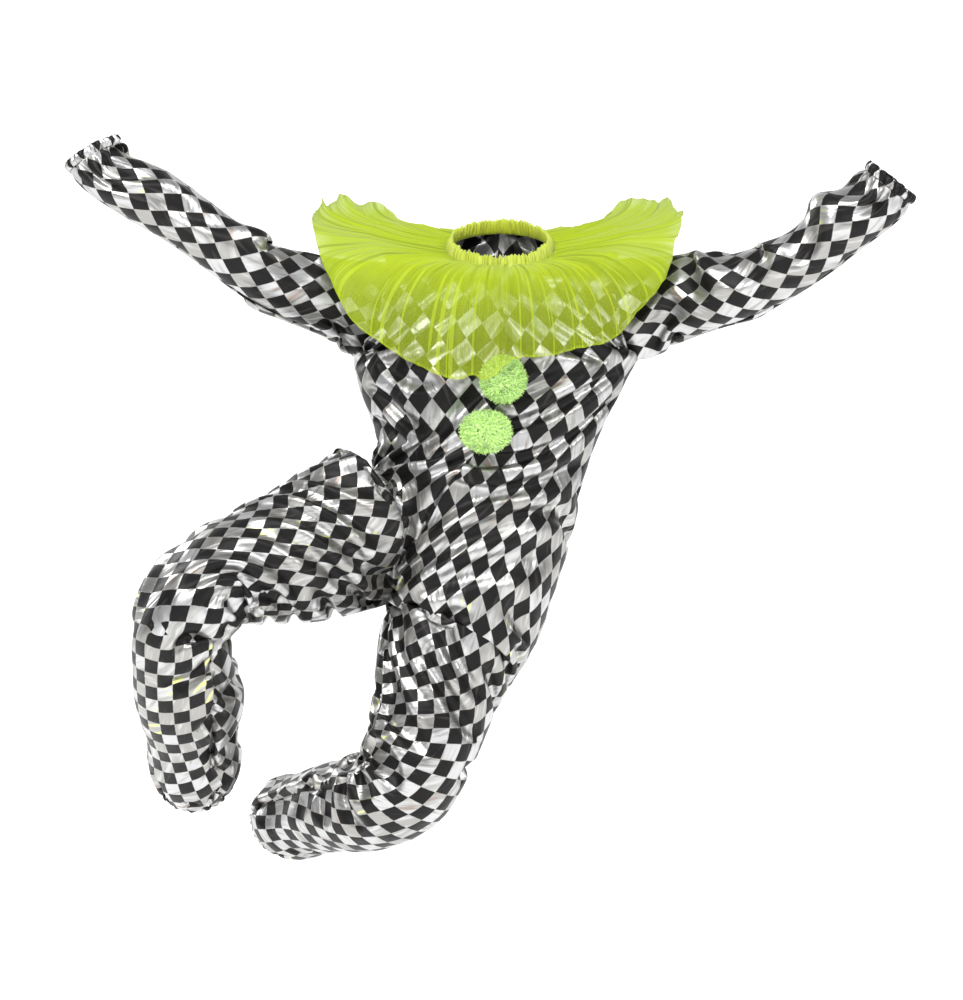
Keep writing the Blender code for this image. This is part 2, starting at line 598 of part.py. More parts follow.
def pompom(spec, centre_seam):
    """A ball of yarn: a core whose every face is drawn out into a lock."""
    seam = centre_seam[centre_seam[:, 1] < FRONT_LIMIT]
    near = seam[np.argmin(np.abs(seam[:, 2] - spec.z))]
    work = bmesh.new()
    bmesh.ops.create_icosphere(work, subdivisions=2, radius=POMPOM_CORE)
    for face in list(work.faces):
        middle = face.calc_center_median()
        bmesh.ops.inset_individual(work, faces=[face], thickness=LOCK_INSET)
        grown = bmesh.ops.extrude_discrete_faces(work, faces=[face])["faces"][0]
        for vert in grown.verts:
            vert.co = middle.normalized() + (vert.co - middle) * LOCK_TIP
    half = np.array((spec.half_width, spec.half_depth, spec.half_height))
    centre = np.array((near[0], near[1] - spec.half_depth - CLOTH, spec.z))
    for vert in work.verts:
        vert.co = centre + np.array(vert.co) * half
    bmesh.ops.triangulate(work, faces=work.faces)
    mesh = bpy.data.meshes.new(spec.name)
    work.to_mesh(mesh)
    work.free()
    return add_object(spec.name, mesh, "pompom")


def placket(grids, normals):
    """The lapped strip on the centre back, moved out from the points of both panels."""
    rows = []
    top = grids["back_left"].shape[0] - 1 - PLACKET_TOP_ROW
    lift = CLOTH + PLACKET_LIFT
    for row in range(top - PLACKET_ROWS, top):
        line = []
        for name, sign in (("back_left", -1.0), ("back_right", 1.0)):
            middle, beside = grids[name][row, 0], grids[name][row, 1]
            share = PLACKET_WIDTH / 2 / np.linalg.norm(beside - middle)
            normal, normal_beside = normals[name][row, 0], normals[name][row, 1]
            line.append(middle + (beside - middle) * share
                        + unit(normal + (normal_beside - normal) * share) * lift)
            if name == "back_left":
                line.append(middle + normal * lift)
        rows.append(line)
    rows = np.array(rows)
    strip_normals = point_normals(rows, True, False)
    return cloth_piece("back_placket", rows, strip_normals, CLOTH, False, True)


def suit_grids():
    """Grids of the four panels and the two sleeves, each with its flip and its closure."""
    grids, flips, closed = {}, {}, {}
    for side in SIDES:
        for half in HALVES:
            name = f"{half}_{side}"
            grids[name] = body_grid(side, half)
            flips[name] = (side == "left") == (half == "front")
            closed[name] = False
    for side in SIDES:
        name = f"sleeve_{side}"
        grids[name] = sleeve_grid(side, grids[f"front_{side}"], grids[f"back_{side}"])
        flips[name] = side == "right"
        closed[name] = True
    return grids, flips, closed


def casings(grids):
    """The elastic casings of both wrists and both ankles."""
    for side in SIDES:
        sleeve = grids[f"sleeve_{side}"]
        casing_piece(f"wrist_casing_{side}", sleeve[-1], sleeve[-2], side == "right")
        front, back = grids[f"front_{side}"], grids[f"back_{side}"]
        leg = np.concatenate((front[:2], back[:2, -2:0:-1]), axis=1)
        casing_piece(f"ankle_casing_{side}", leg[0], leg[1], side == "right")


def build():
    grids, flips, closed = suit_grids()
    normals = shared_normals(grids, flips, closed)
    grids = {name: grid + normals[name] * fold_height(grid, normals[name])[..., None]
             for name, grid in grids.items()}
    normals = shared_normals(grids, flips, closed)
    for name, grid in grids.items():
        cloth_piece(name, grid, normals[name], CLOTH, closed[name], flips[name], corners=PANEL_CORNERS)
    casings(grids)
    ruff = ruff_grid()
    cloth_piece("ruff", ruff, point_normals(ruff, True, True), ORGANZA, True, True, "organza")
    band = band_grid()
    cloth_piece("neckband", band, point_normals(band, False, True), CASING, True, False, "neon")
    for spec in POMPOMS:
        pompom(spec, grids["front_left"][:, 0])
    placket(grids, normals)


for old in list(bpy.data.objects):
    bpy.data.objects.remove(old, do_unlink=True)
materials = {name: make_material(name, *finish) for name, finish in MATERIALS.items()}
build()
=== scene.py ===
"""Clown jumpsuit: fine cloth, ruff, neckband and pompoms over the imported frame.

Metres, +Z up, the front faces -Y, and the origin is the middle of the neck opening.
"left" and "right" are the viewer's, so left is -X.

The suit's panels and sleeves are grids of points on the same section tables as the solid
pieces.  Each grid is refined, creased and given the layout of its cut, in metres, as its
UV map, so that the printed check lies on the cloth as it would on the sewn piece.
"""
import math
from collections import namedtuple

import bpy
import numpy as np
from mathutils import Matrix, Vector


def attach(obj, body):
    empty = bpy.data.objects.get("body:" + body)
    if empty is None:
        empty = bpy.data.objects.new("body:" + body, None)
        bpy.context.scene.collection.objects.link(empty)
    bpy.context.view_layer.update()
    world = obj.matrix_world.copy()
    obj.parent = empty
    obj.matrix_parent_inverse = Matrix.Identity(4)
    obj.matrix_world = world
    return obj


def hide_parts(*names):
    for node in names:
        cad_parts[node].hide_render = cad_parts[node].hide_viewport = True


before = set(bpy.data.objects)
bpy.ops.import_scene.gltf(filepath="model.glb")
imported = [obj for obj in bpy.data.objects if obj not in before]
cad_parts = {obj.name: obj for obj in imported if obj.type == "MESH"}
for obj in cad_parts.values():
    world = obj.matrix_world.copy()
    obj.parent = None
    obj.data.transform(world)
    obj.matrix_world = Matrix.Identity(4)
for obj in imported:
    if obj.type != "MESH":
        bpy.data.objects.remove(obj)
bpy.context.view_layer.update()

SIDES = ("left", "right")
HALVES = ("front", "back")
SIGN = {"left": -1.0, "right": 1.0}     # which way along X each side lies
UP = np.array((0.0, 0.0, 1.0))
FULL_TURN = 2 * math.pi
TINY = 1e-12            # keeps a division by a length from failing
WELD_GRID = 1e6         # points of different pieces meet if they agree to this part of a metre
HASH_STEPS = (374761393, 668265263, 2147483647)     # large odd numbers that the noise mixes
HASH_MIX = 1274126177

# ---------------------------------------------------------------- section tables
PANEL_COLUMNS = 8       # cells across a front or back panel
HALF_ARMHOLE = 8        # cells along half an armhole, and round half a sleeve
RISE_ROWS = 5           # rows of cells between the top of a leg and the hip line

# Torso sections, top down: centre, half sizes, and in degrees the turn of the centre front
# towards the right, the roll that lifts the left side, and the pitch that lifts the front.
Torso = namedtuple("Torso", "name x y z half_width half_depth turn roll pitch")
TORSO = (
    Torso("underarm", -0.006, 0.000, -0.178, 0.224, 0.122, 4, 0, 0),
    Torso("chest", -0.014, 0.000, -0.225, 0.208, 0.130, 5, 0, 0),
    Torso("ribs", -0.020, 0.000, -0.274, 0.186, 0.130, 2, 2, 0),
    Torso("waist", -0.026, 0.000, -0.320, 0.169, 0.128, 0, 5, 4),
    Torso("belly", -0.036, 0.002, -0.364, 0.165, 0.132, -4, 9, 8),
    Torso("hip", -0.047, 0.006, -0.404, 0.168, 0.138, -9, 15, 10),
)
TORSO_ROWS = 9

NECK_CENTRE = np.array((0.0, 0.0, -0.012))
NECK_HALF_WIDTH = 0.083
NECK_HALF_DEPTH = 0.078
NECK_TILT = math.radians(28)        # the front lies lower than the nape
NECK_SLOPE = np.array((0.0, math.cos(NECK_TILT), math.sin(NECK_TILT)))

# Tube sections of a leg or sleeve, from the body outwards: centre, half width from seam
# side to outer side, half depth to the front and back, and the twist of the seam.
Tube = namedtuple("Tube", "name x y z half_width half_front half_back twist")
LEG_LEFT = (
    Tube("root", -0.236, -0.066, -0.454, 0.108, 0.136, 0.120, -48),
    Tube("thigh", -0.306, -0.114, -0.484, 0.108, 0.114, 0.114, -32),
    Tube("above knee", -0.376, -0.166, -0.508, 0.092, 0.092, 0.094, -14),
    Tube("knee top", -0.437, -0.205, -0.536, 0.082, 0.082, 0.064, 0),
    Tube("knee", -0.474, -0.212, -0.585, 0.078, 0.080, 0.055, 0),
    Tube("knee foot", -0.480, -0.180, -0.640, 0.076, 0.078, 0.062, 0),
    Tube("calf", -0.484, -0.110, -0.715, 0.078, 0.079, 0.080, 0),
    Tube("shin", -0.487, -0.050, -0.780, 0.066, 0.066, 0.068, 0),
    Tube("puff", -0.489, 0.008, -0.834, 0.068, 0.068, 0.068, 0),
    Tube("ankle", -0.494, 0.038, -0.864, 0.056, 0.056, 0.056, 0),
)
LEG_RIGHT = (
    Tube("root", -0.057, -0.004, -0.606, 0.112, 0.114, 0.118, -22),
    Tube("thigh", -0.086, -0.022, -0.668, 0.104, 0.104, 0.104, -12),
    Tube("above knee", -0.107, -0.038, -0.735, 0.092, 0.092, 0.092, -4),
    Tube("knee top", -0.128, -0.052, -0.798, 0.086, 0.085, 0.080, 0),
    Tube("knee", -0.154, -0.052, -0.852, 0.082, 0.083, 0.070, 0),
    Tube("knee foot", -0.196, -0.016, -0.884, 0.077, 0.078, 0.070, 0),
    Tube("calf", -0.262, 0.066, -0.902, 0.076, 0.076, 0.076, 0),
    Tube("shin", -0.310, 0.130, -0.920, 0.071, 0.071, 0.071, 0),
    Tube("puff", -0.344, 0.180, -0.940, 0.071, 0.069, 0.069, 0),
    Tube("ankle", -0.364, 0.210, -0.952, 0.054, 0.054, 0.054, 0),
)
LEGS = {"left": LEG_LEFT, "right": LEG_RIGHT}
LEG_ROWS = 21
# Outer side of each leg, square to the plane that its knee bends in
LEG_OUTER = {"left": np.array((-0.57, 0.59, 0.57)), "right": np.array((0.76, 0.54, -0.37))}
CROTCH = np.array((-0.178, -0.030, -0.569))
RISE_START_PULL = 0.5   # how strongly the rise follows the leg, and then the torso
RISE_END_PULL = 0.6
RISE_BLEND = 0.45       # part of a panel's width that turns towards the crotch's own curve
RISE_FRONT = np.array((0.30, -0.95, 0.05))      # how the rise leaves the crotch point
RISE_BACK = np.array((0.35, 0.90, -0.20))
APART = 0.010           # how far the legs' inner sides stay off the plane between them
APART_STEP = 0.0015     # and how much further with each row down
APART_ROWS = 9
CROTCH_PULL_ROWS = 6    # rows of a leg that lean towards the crotch point
CROTCH_LEAN = 0.12      # how far the rows below the first one lean

SLEEVE_LEFT = (
    Tube("head", -0.263, -0.040, -0.083, 0.065, 0.055, 0.064, 0),
    Tube("upper arm", -0.315, -0.080, -0.071, 0.058, 0.053, 0.058, 0),
    Tube("elbow top", -0.371, -0.118, -0.051, 0.049, 0.052, 0.052, 0),
    Tube("elbow", -0.416, -0.134, -0.020, 0.046, 0.051, 0.051, 0),
    Tube("forearm", -0.475, -0.142, 0.023, 0.046, 0.050, 0.050, 0),
    Tube("puff", -0.537, -0.146, 0.063, 0.049, 0.050, 0.050, 0),
    Tube("wrist", -0.608, -0.148, 0.103, 0.042, 0.043, 0.043, 0),
    Tube("cuff", -0.624, -0.148, 0.115, 0.040, 0.040, 0.040, 0),
)
SLEEVE_RIGHT = (
    Tube("head", 0.275, -0.044, -0.085, 0.070, 0.056, 0.064, 0),
    Tube("upper arm", 0.329, -0.084, -0.079, 0.060, 0.053, 0.058, 0),
    Tube("elbow top", 0.381, -0.122, -0.070, 0.053, 0.054, 0.054, 0),
    Tube("elbow", 0.426, -0.146, -0.051, 0.048, 0.052, 0.052, 0),
    Tube("forearm", 0.474, -0.164, -0.022, 0.046, 0.050, 0.050, 0),
    Tube("puff", 0.521, -0.182, 0.019, 0.050, 0.051, 0.051, 0),
    Tube("wrist", 0.571, -0.198, 0.052, 0.044, 0.044, 0.044, 0),
    Tube("cuff", 0.587, -0.204, 0.065, 0.041, 0.041, 0.041, 0),
)
SLEEVES = {"left": SLEEVE_LEFT, "right": SLEEVE_RIGHT}
SLEEVE_ROWS = 14
SLEEVE_JOIN = (0.33, 0.66)      # rows between the armhole and the sleeve's first section
SLEEVE_OUTWARD = np.array((0.95, -0.30, 0.0))   # how the right sleeve leaves its armhole
SLEEVE_SLANT = {"left": 0.018, "right": 0.010}   # how far the cuff's underside leads
UNDERARM_ROW = LEG_ROWS + RISE_ROWS + TORSO_ROWS
NECK_ROW = UNDERARM_ROW + HALF_ARMHOLE // 2     # where the centre front meets the neckline

SHOULDER = {"left": np.array((-0.186, 0.006, -0.020)), "right": np.array((0.190, 0.006, -0.020))}
ARMHOLE_DEPTH = 0.064
ARMHOLE_INSET = 0.024

# ---------------------------------------------------------------- fine cloth and its cut
ROW_CELLS = 12          # fine cells along each cell of a panel
COLUMN_CELLS = 12
SLEEVE_ROW_CELLS = 9
SLEEVE_COLUMN_CELLS = 6

# Turn of the print on each panel, in degrees against the length of the panel, by row
GRAIN = {
    "front_left": (
        (0, -20), (6, -36), (9, -43), (11, -33), (13, -6), (15, 16), (20, 16), (24, 6), (28, 0),
        (43, 0),
    ),
    "back_left": ((0, 0), (9, 8), (17, 14), (22, 6), (27, 0), (43, 0)),
    "front_right": (
        (0, 45), (5, 52), (9, 58), (12, 64), (14, 42), (16, 18), (18, 8), (20, 4), (22, -6), (25, -6),
        (28, -2), (30, 0),
    ),
    "back_right": ((0, -23), (5, -15), (9, 20), (16, 12), (22, 5), (27, 0), (43, 0)),
    "sleeve_left": ((0, 0), (16, 0)),
    "sleeve_right": ((0, 0), (16, 0)),
}
# Size of the cloth over the size that shows, along a panel and across it, by row
FINE_EASE = {
    "front_left": ((0, 1.22, 1.22), (20, 1.24, 1.24), (23, 1.02, 1.22), (28, 0.90, 1.06), (31, 0.93, 0.93)),
    "back_left": ((0, 1.22, 1.22), (20, 1.24, 1.24), (26, 1.00, 1.10), (30, 0.93, 0.93)),
    "front_right": (
        (0, 1.36, 1.36), (8, 1.28, 1.28), (14, 1.22, 1.22), (20, 1.16, 1.18), (23, 1.00, 1.24),
        (28, 0.88, 1.12), (31, 0.93, 0.93),
    ),
    "back_right": ((0, 1.36, 1.36), (8, 1.28, 1.28), (20, 1.17, 1.17), (26, 1.00, 1.10), (31, 0.93, 0.93)),
    "sleeve_left": ((0, 1.12, 1.12), (16, 1.16, 1.16)),
    "sleeve_right": ((0, 1.12, 1.12), (16, 1.16, 1.16)),
}
# Where the print of each piece starts, so that no two meet in step at a seam
PRINT_START = {
    "front_left": (0.0121, 0.0043), "front_right": (0.0034, 0.0178), "back_left": (0.0262, 0.0315),
    "back_right": (0.0071, 0.0092), "sleeve_left": (0.0195, 0.0266), "sleeve_right": (0.0009, 0.0387),
    "back_placket": (0.0150, 0.0205),
}
GATHERED_WIDTH = 1.45   # cut width at a wrist or ankle, over the width once gathered
# Each panel and sleeve as it is cut, in metres and square metres, and what it rests on
Cut = namedtuple("Cut", "width length area rests_on")

# ---------------------------------------------------------------- creases
# Creases, as ridges (height > 0) or troughs (height < 0) between two points, seen square on
# from the front (facing 1) or from behind (facing -1), each with its half width and height.
Fold = namedtuple("Fold", "name facing x0 z0 x1 z1 half_width height")
FOLDS = (
    Fold("waist pull, upper", 1, -0.010, -0.382, 0.124, -0.286, 0.010, 0.010),
    Fold("waist pull, lower", 1, -0.010, -0.452, 0.104, -0.405, 0.011, 0.009),
    Fold("waist pull, hollow", 1, 0.000, -0.420, 0.118, -0.345, 0.014, -0.006),
    Fold("groin crease", 1, -0.196, -0.320, -0.058, -0.352, 0.012, -0.013),
    Fold("groin roll", 1, -0.205, -0.345, -0.110, -0.372, 0.010, 0.006),
    Fold("side drape, left", 1, -0.168, -0.215, -0.140, -0.310, 0.010, 0.008),
    Fold("side drape, left inner", 1, -0.146, -0.225, -0.122, -0.318, 0.009, 0.006),
    Fold("side hollow, left", 1, -0.157, -0.220, -0.132, -0.315, 0.007, -0.006),
    Fold("side drape, right", 1, 0.176, -0.210, 0.136, -0.300, 0.010, 0.007),
    Fold("side drape, right inner", 1, 0.152, -0.235, 0.118, -0.320, 0.009, 0.005),
    Fold("thigh pull", 1, -0.210, -0.395, -0.370, -0.470, 0.012, 0.005),
    Fold("thigh pull, second", 1, -0.170, -0.430, -0.300, -0.500, 0.010, 0.004),
    Fold("thigh underside", 1, -0.190, -0.560, -0.350, -0.590, 0.012, 0.007),
    Fold("thigh underside, second", 1, -0.215, -0.530, -0.340, -0.565, 0.010, 0.005),
    Fold("crotch fan, upper", 1, -0.170, -0.545, -0.060, -0.470, 0.010, 0.006),
    Fold("crotch fan, middle", 1, -0.165, -0.560, -0.020, -0.530, 0.010, 0.006),
    Fold("crotch fan, lower", 1, -0.165, -0.578, -0.060, -0.602, 0.010, 0.007),
    Fold("hip pull, right leg", 1, -0.110, -0.598, 0.010, -0.560, 0.011, 0.007),
    Fold("hip pull, second", 1, -0.060, -0.634, 0.022, -0.600, 0.009, 0.005),
    Fold("knee pull, right leg", 1, -0.180, -0.800, -0.070, -0.760, 0.012, 0.005),
    Fold("knee pull, second", 1, -0.200, -0.838, -0.095, -0.800, 0.010, 0.005),
    Fold("seat fold, left", -1, -0.200, -0.470, -0.080, -0.530, 0.013, 0.010),
    Fold("seat fold, right", -1, -0.060, -0.560, 0.080, -0.500, 0.013, 0.010),
    Fold("seat fold, middle", -1, -0.120, -0.500, 0.020, -0.480, 0.012, 0.006),
    Fold("back pull, left", -1, -0.150, -0.340, -0.020, -0.400, 0.012, 0.008),
    Fold("back pull, right", -1, 0.120, -0.330, 0.000, -0.390, 0.012, 0.008),
    Fold("back drape, left", -1, -0.160, -0.200, -0.120, -0.310, 0.010, 0.007),
    Fold("back drape, right", -1, 0.160, -0.200, 0.120, -0.310, 0.010, 0.007),
    Fold("back thigh pull", -1, -0.080, -0.620, 0.010, -0.660, 0.011, 0.006),
)
FOLD_FACING = 2.0       # how fast a fold fades where the cloth turns away
FOLD_WANDER = 0.010     # how far a fold strays from its straight line
FOLD_WANDER_CELL = 0.035
FOLD_SEEDS = (11, 12)
FOLD_TAPER = (0.55, 0.45)       # part of a fold's height at its ends, and what its middle adds
FOLD_TIP = 0.05         # part of a fold's length over which an end stays level
FOLD_ROUNDING = 1.6     # how steeply a fold falls off to its sides

GATHER_REACH = 0.085    # how far up a limb the gathers of its casing run out
GATHER_PITCH = 0.0155   # from crest to crest of the gathers at a wrist or ankle
GATHER_HEIGHT = 0.0010
GATHER_WANDER = 0.7     # how far a gather strays, in pitches
GATHER_WANDER_CELL = 0.030
GATHER_SEED = 33
SOFT_HEIGHT = 0.0016    # broad slow unevenness of all the cloth
SOFT_CELLS = (0.060, 0.031)
SOFT_SEEDS = (21, 22)
SOFT_SECOND = 0.6       # height of its smaller cells, as a part of the larger ones'
FINE_HEIGHT = 0.0007    # faint fine creases
FINE_CELL = np.array((0.045, 0.045, 0.020))
FINE_SEED = 26
FINE_WARP = 0.02        # how far they are bent from straight, and how often
FINE_WARP_CELL = 0.05
FINE_WARP_SEEDS = (23, 24, 25)
SEAM_FADE = 0.030       # how far from a seam the bunching reaches its full height
SEAM_DIP = 0.0012
SEAM_WIDTH = 0.0035

# ---------------------------------------------------------------- settling
PANEL_STEP = 2          # the points that settle: every second one of a panel, both ways
SLEEVE_STEP = 3         # and every third row of a sleeve
NECK_START = NECK_ROW * ROW_CELLS // PANEL_STEP     # settling row where the neckline starts
NECK_MARK_STEP = 4      # rows between the marks that distance from the neckline is taken to
SETTLE_STEPS = 220
LAYOUT_PASSES = 120
LONG_THREADS = 80       # percentile that stands for a panel's longer threads
LENGTH_EASE = 1.035     # cut size over the size on the figure, apart from what bends bunch
WIDTH_EASE = 1.035
MOST_BUNCHED = 1.8      # most cloth that a bend bunches, over the length that it covers
SETTLE_IN = 0.009       # how far the cloth may sink in from its smooth form, and stand out
SETTLE_OUT = 0.0055
SETTLE_WEIGHT = np.array((0.0, 0.0, -0.00003))
SETTLE_DRAG = 0.90
SETTLE_HOLD = 0.003     # how firmly a point keeps its place along the cloth, at each step
SEAM_HOLD = 0.03
SHEAR_STIFFNESS = 0.25
# How strongly the cloth resists a bend, over one cell and over two
BEND_STIFFNESS = ((1, 0.45), (2, 0.05))
BEND_WEIGHTS = 16       # sum of the weights 1, 4, 6, 4, 1 that measure a bend
EDGE_STIFFNESS = 0.06
NECK_FADE = (0.004, 0.050)      # the cloth lies smooth this near the neckline

# Where the cloth bunches: the middle and radius of each place, and the cut size there over
# what shows, along the piece and across it
Slack = namedtuple("Slack", "name x y z radius along across")
SLACK = (
    Slack("side of the waist, left", -0.160, -0.06, -0.290, 0.080, 1.04, 1.20),
    Slack("side of the waist, right", 0.150, -0.02, -0.300, 0.080, 1.04, 1.14),
    Slack("top of the raised thigh", -0.176, -0.10, -0.379, 0.070, 1.14, 1.14),
    Slack("groin", -0.096, -0.08, -0.585, 0.085, 1.16, 1.12),
    Slack("side of the hip", 0.130, 0.02, -0.460, 0.090, 1.03, 1.03),
    Slack("side of the seat", 0.090, 0.04, -0.590, 0.090, 1.06, 1.05),
    Slack("outer side of the raised thigh", -0.350, -0.06, -0.430, 0.120, 0.74, 0.97),
    Slack("outer side of the raised hip", -0.250, 0.00, -0.400, 0.075, 0.82, 1.00),
    Slack("outer side of the raised knee", -0.535, -0.17, -0.600, 0.080, 0.84, 0.98),
    Slack("outer side of the raised shin", -0.550, -0.09, -0.720, 0.100, 0.86, 0.98),
    Slack("underside of the raised thigh", -0.290, -0.13, -0.560, 0.090, 1.16, 1.10),
    Slack("inner side of the right leg", -0.165, -0.03, -0.680, 0.110, 1.05, 1.22),
    Slack("bend of the right knee", -0.185, 0.02, -0.790, 0.080, 1.16, 1.12),
    Slack("bend of the raised knee", -0.400, -0.18, -0.640, 0.090, 1.12, 1.10),
    Slack("shin of the raised leg", -0.440, -0.10, -0.820, 0.110, 1.10, 1.12),
    Slack("elbow, left", -0.360, -0.02, -0.043, 0.085, 1.06, 1.16),
    Slack("elbow, right", 0.355, -0.02, -0.060, 0.085, 1.06, 1.16),
    Slack("left armpit", -0.215, -0.03, -0.120, 0.070, 1.08, 1.14),
    Slack("right armpit", 0.220, -0.03, -0.120, 0.070, 1.08, 1.14),
    Slack("small of the back", -0.020, 0.10, -0.420, 0.110, 1.16, 1.06),
    Slack("seat", -0.060, 0.08, -0.600, 0.100, 1.10, 1.10),
)

# Lengths of a sheet's threads both ways and of its two sets of diagonals
Threads = namedtuple("Threads", "along across falling rising")

# ---------------------------------------------------------------- ruff, band, casings and placket
# The hem round the neck: the direction in degrees from the front towards the right, how far
# it reaches out from the neckline and how far it drops below it.
RUFF_HEM = (
    (-180, 0.130, 0.140), (-165, 0.146, 0.092), (-150, 0.172, 0.004), (-135, 0.190, -0.048),
    (-120, 0.202, -0.062), (-105, 0.206, -0.058), (-90, 0.208, -0.048), (-75, 0.216, -0.004),
    (-68, 0.220, 0.020), (-60, 0.210, 0.066), (-50, 0.189, 0.130), (-35, 0.152, 0.176),
    (-16, 0.128, 0.196), (-5, 0.124, 0.196), (3, 0.127, 0.160), (14, 0.134, 0.156),
    (25, 0.147, 0.155), (34, 0.170, 0.156), (40, 0.190, 0.128), (45, 0.205, 0.112),
    (50, 0.218, 0.086), (58, 0.211, 0.052), (66, 0.208, 0.028), (75, 0.202, 0.006),
    (90, 0.200, -0.044), (105, 0.202, -0.058), (120, 0.200, -0.062), (135, 0.190, -0.048),
    (150, 0.172, 0.004), (165, 0.146, 0.092), (180, 0.130, 0.140),
)
RUFF_SOFTNESS = 27      # columns over which the hem's line is rounded
RUFF_STAND = 0.018      # how far the ruff stands up, and the part of the way where it does
RUFF_STAND_PART = 0.4
RUFF_START_OUT = 0.0038
RUFF_START_UP = 0.0030
RUFF_COLUMNS = 1040
RUFF_ROWS = 50
RUFF_OPENING = (0.05, 0.75)     # where the gathers open out, as parts of the way to the hem
RUFF_WAVES = 18         # waves at the hem
RUFF_WAVE_HEIGHT = 0.0085
RUFF_WAVE_CLOSED = 0.10     # height of a wave where the gathers are closed
RUFF_WAVE_INNER = 0.35      # height of a wave at the neck, as a part of the hem's
RUFF_WAVE_CREASE = 0.75     # sharpness of its creases, up to 1
RUFF_WAVE_LEAN = 0.35       # how far a wave leans sideways, as a part of its height
RUFF_FRONT_WAVE = 0.60      # height of the front's waves, as a part of the back's
RUFF_FRONT = (-0.2, 0.7)    # cosines of the angles between which the front begins
RUFF_PLEATS = 72        # narrow folds that run out from the neck seam
RUFF_PLEAT_HEIGHT = 0.0034
RUFF_PLEAT_OPEN = 0.38      # height of a pleat where the gathers are open
RUFF_PLEAT_CREASE = 0.995
RUFF_PLEAT_START = 0.06     # part of the way at which a pleat has its full height
RUFF_SWAYS = (2.0, 3.0)     # how far the waves and the pleats follow the sway
RUFF_HEM_WIDTH = 0.014      # as a part of the way from the neck to the hem
RUFF_STRIP = (1.95, 0.215)  # the strip of organza before it was gathered

BAND_HEIGHT = 0.024
BAND_START = -0.0030    # its lower edge takes in the edges of the panels
BAND_LEAN = 0.25
BAND_THICKNESS = 0.0065
BAND_COLUMNS = 720
BAND_PROFILE = 16
BAND_RUCHES = 74
BAND_RUCHE_HEIGHT = 0.0019
BAND_RUCHE_RISE = 0.9   # how far a ruche lifts the top edge, over how far it stands out
BAND_TOP_WAVE = 0.0022  # the band's top edge is pushed up and down by its ruches
BAND_STRIP = (0.72, 0.052)

CASING_WIDTH = 0.014
CASING_WALL = 0.0018
CASING_START = 0.0009
CASING_COLUMNS = 252
CASING_ROWS = 12
CASING_GATHERS = 27
CASING_RIPPLE = 0.0016
CASING_SWELL = 0.0022

# Unevenness round the neck or a casing: its middle value, and layers of noise with their
# height, their cells to the radius of the ring and to the way out from it, and their seed
Layer = namedtuple("Layer", "height cells rise seed")
RUFF_SWAY = (0.0, Layer(1.3, 3.1, 0.0, 41), Layer(0.5, 7.3, 0.0, 42))
RUFF_WAVE_SIZE = (0.8, Layer(0.45, 5.7, 0.0, 43))
RUFF_REACH = (1.0, Layer(0.030, 6.1, 0.0, 44), Layer(0.012, 17.0, 0.0, 45))
RUFF_WAVE_DRIFT = (0.0, Layer(1.2, 2.3, 1.5, 46))
RUFF_PLEAT_DRIFT = (0.0, Layer(2.0, 11.0, 0.6, 47))
RUFF_PLEAT_SIZE = (0.7, Layer(0.6, 9.0, 0.0, 48))
BAND_SWAY = (0.0, Layer(5.0, 5.0, 0.0, 51), Layer(2.6, 13.0, 0.0, 55))
BAND_RUCHE_DRIFT = (0.0, Layer(1.2, 14.0, 2.0, 52))
BAND_PUCKER = (0.0, Layer(0.5, 40.0, 3.0, 53))
BAND_RAGGED = (0.0, Layer(1.0, 11.0, 0.0, 54), Layer(0.8, 27.0, 0.0, 57))
BAND_RUCHE_SIZE = (0.75, Layer(0.65, 8.0, 0.0, 56))
CASING_SWAY = (0.0, Layer(1.6, 4.0, 0.0, 61))
CASING_DRIFT = (0.0, Layer(0.6, 9.0, 1.5, 62))
CASING_WANDER = (0.0, Layer(0.0010, 6.0, 0.0, 63))

PLACKET_ROWS = (28, 37)     # rows of the back panels between which it lies
PLACKET_ROW_STEP = 2
PLACKET_COLUMNS = 20
PLACKET_REACH = COLUMN_CELLS * 2    # fine columns of a panel that its half is measured on
PLACKET_WIDTH = 0.034
PLACKET_LIFT = 0.0011
PLACKET_WALL = 0.0010

# ---------------------------------------------------------------- pompoms
Pompom = namedtuple("Pompom", "name z half_width half_height half_depth")
POMPOMS = (
    Pompom("pompom_upper", -0.226, 0.037, 0.038, 0.033),
    Pompom("pompom_lower", -0.306, 0.041, 0.034, 0.032),
)
FRONT_LIMIT = -0.08     # the centre-front seam lies in front of this
CLOTH = 0.0015
YARN_SEED = 70
YARN_COUNT = 7000
YARN_WIDTH = 0.0010
YARN_TAPER = 0.55       # how much of its width a strand loses towards its tip
YARN_SEGMENTS = 3
YARN_CORNERS = 3        # corners of a strand's section
YARN_ROOT = 0.55        # where a strand leaves the ball's heart, as a part of the radius
YARN_SCATTER = 0.10     # how far a strand's root and tip stray from their even places
YARN_STRAY = 0.30
YARN_CLUMP = 0.30       # how far neighbouring strands lean together, and their clumps' cells
YARN_CLUMP_CELLS = 6.0
YARN_CLUMP_SEEDS = (71, 72, 73)
YARN_LENGTH = 0.93      # a strand's reach as a part of the radius, and how it varies
YARN_LENGTH_WAVE = 0.08
YARN_LENGTH_CELLS = 7.0
YARN_LENGTH_SEED = 74
YARN_LENGTH_SPREAD = (-0.13, 0.11)

# ---------------------------------------------------------------- colours
# Noise drawn out along the cloth: its scale that way, cells to a metre, detail and roughness
Streaks = namedtuple("Streaks", "along cells detail roughness", defaults=(1.0, 0.5))
# Something that shows from one value to another, and how much of it then shows
Blend = namedtuple("Blend", "start full share")
# A painted reflection in the foil of coloured things nearby: where it shows on the streaks and on broad
# patches of the cloth
Tint = namedtuple("Tint", "colour share streaks patches")
# Relief too fine for the mesh: its depth in metres, and how strongly it shows
Relief = namedtuple("Relief", "depth strength")

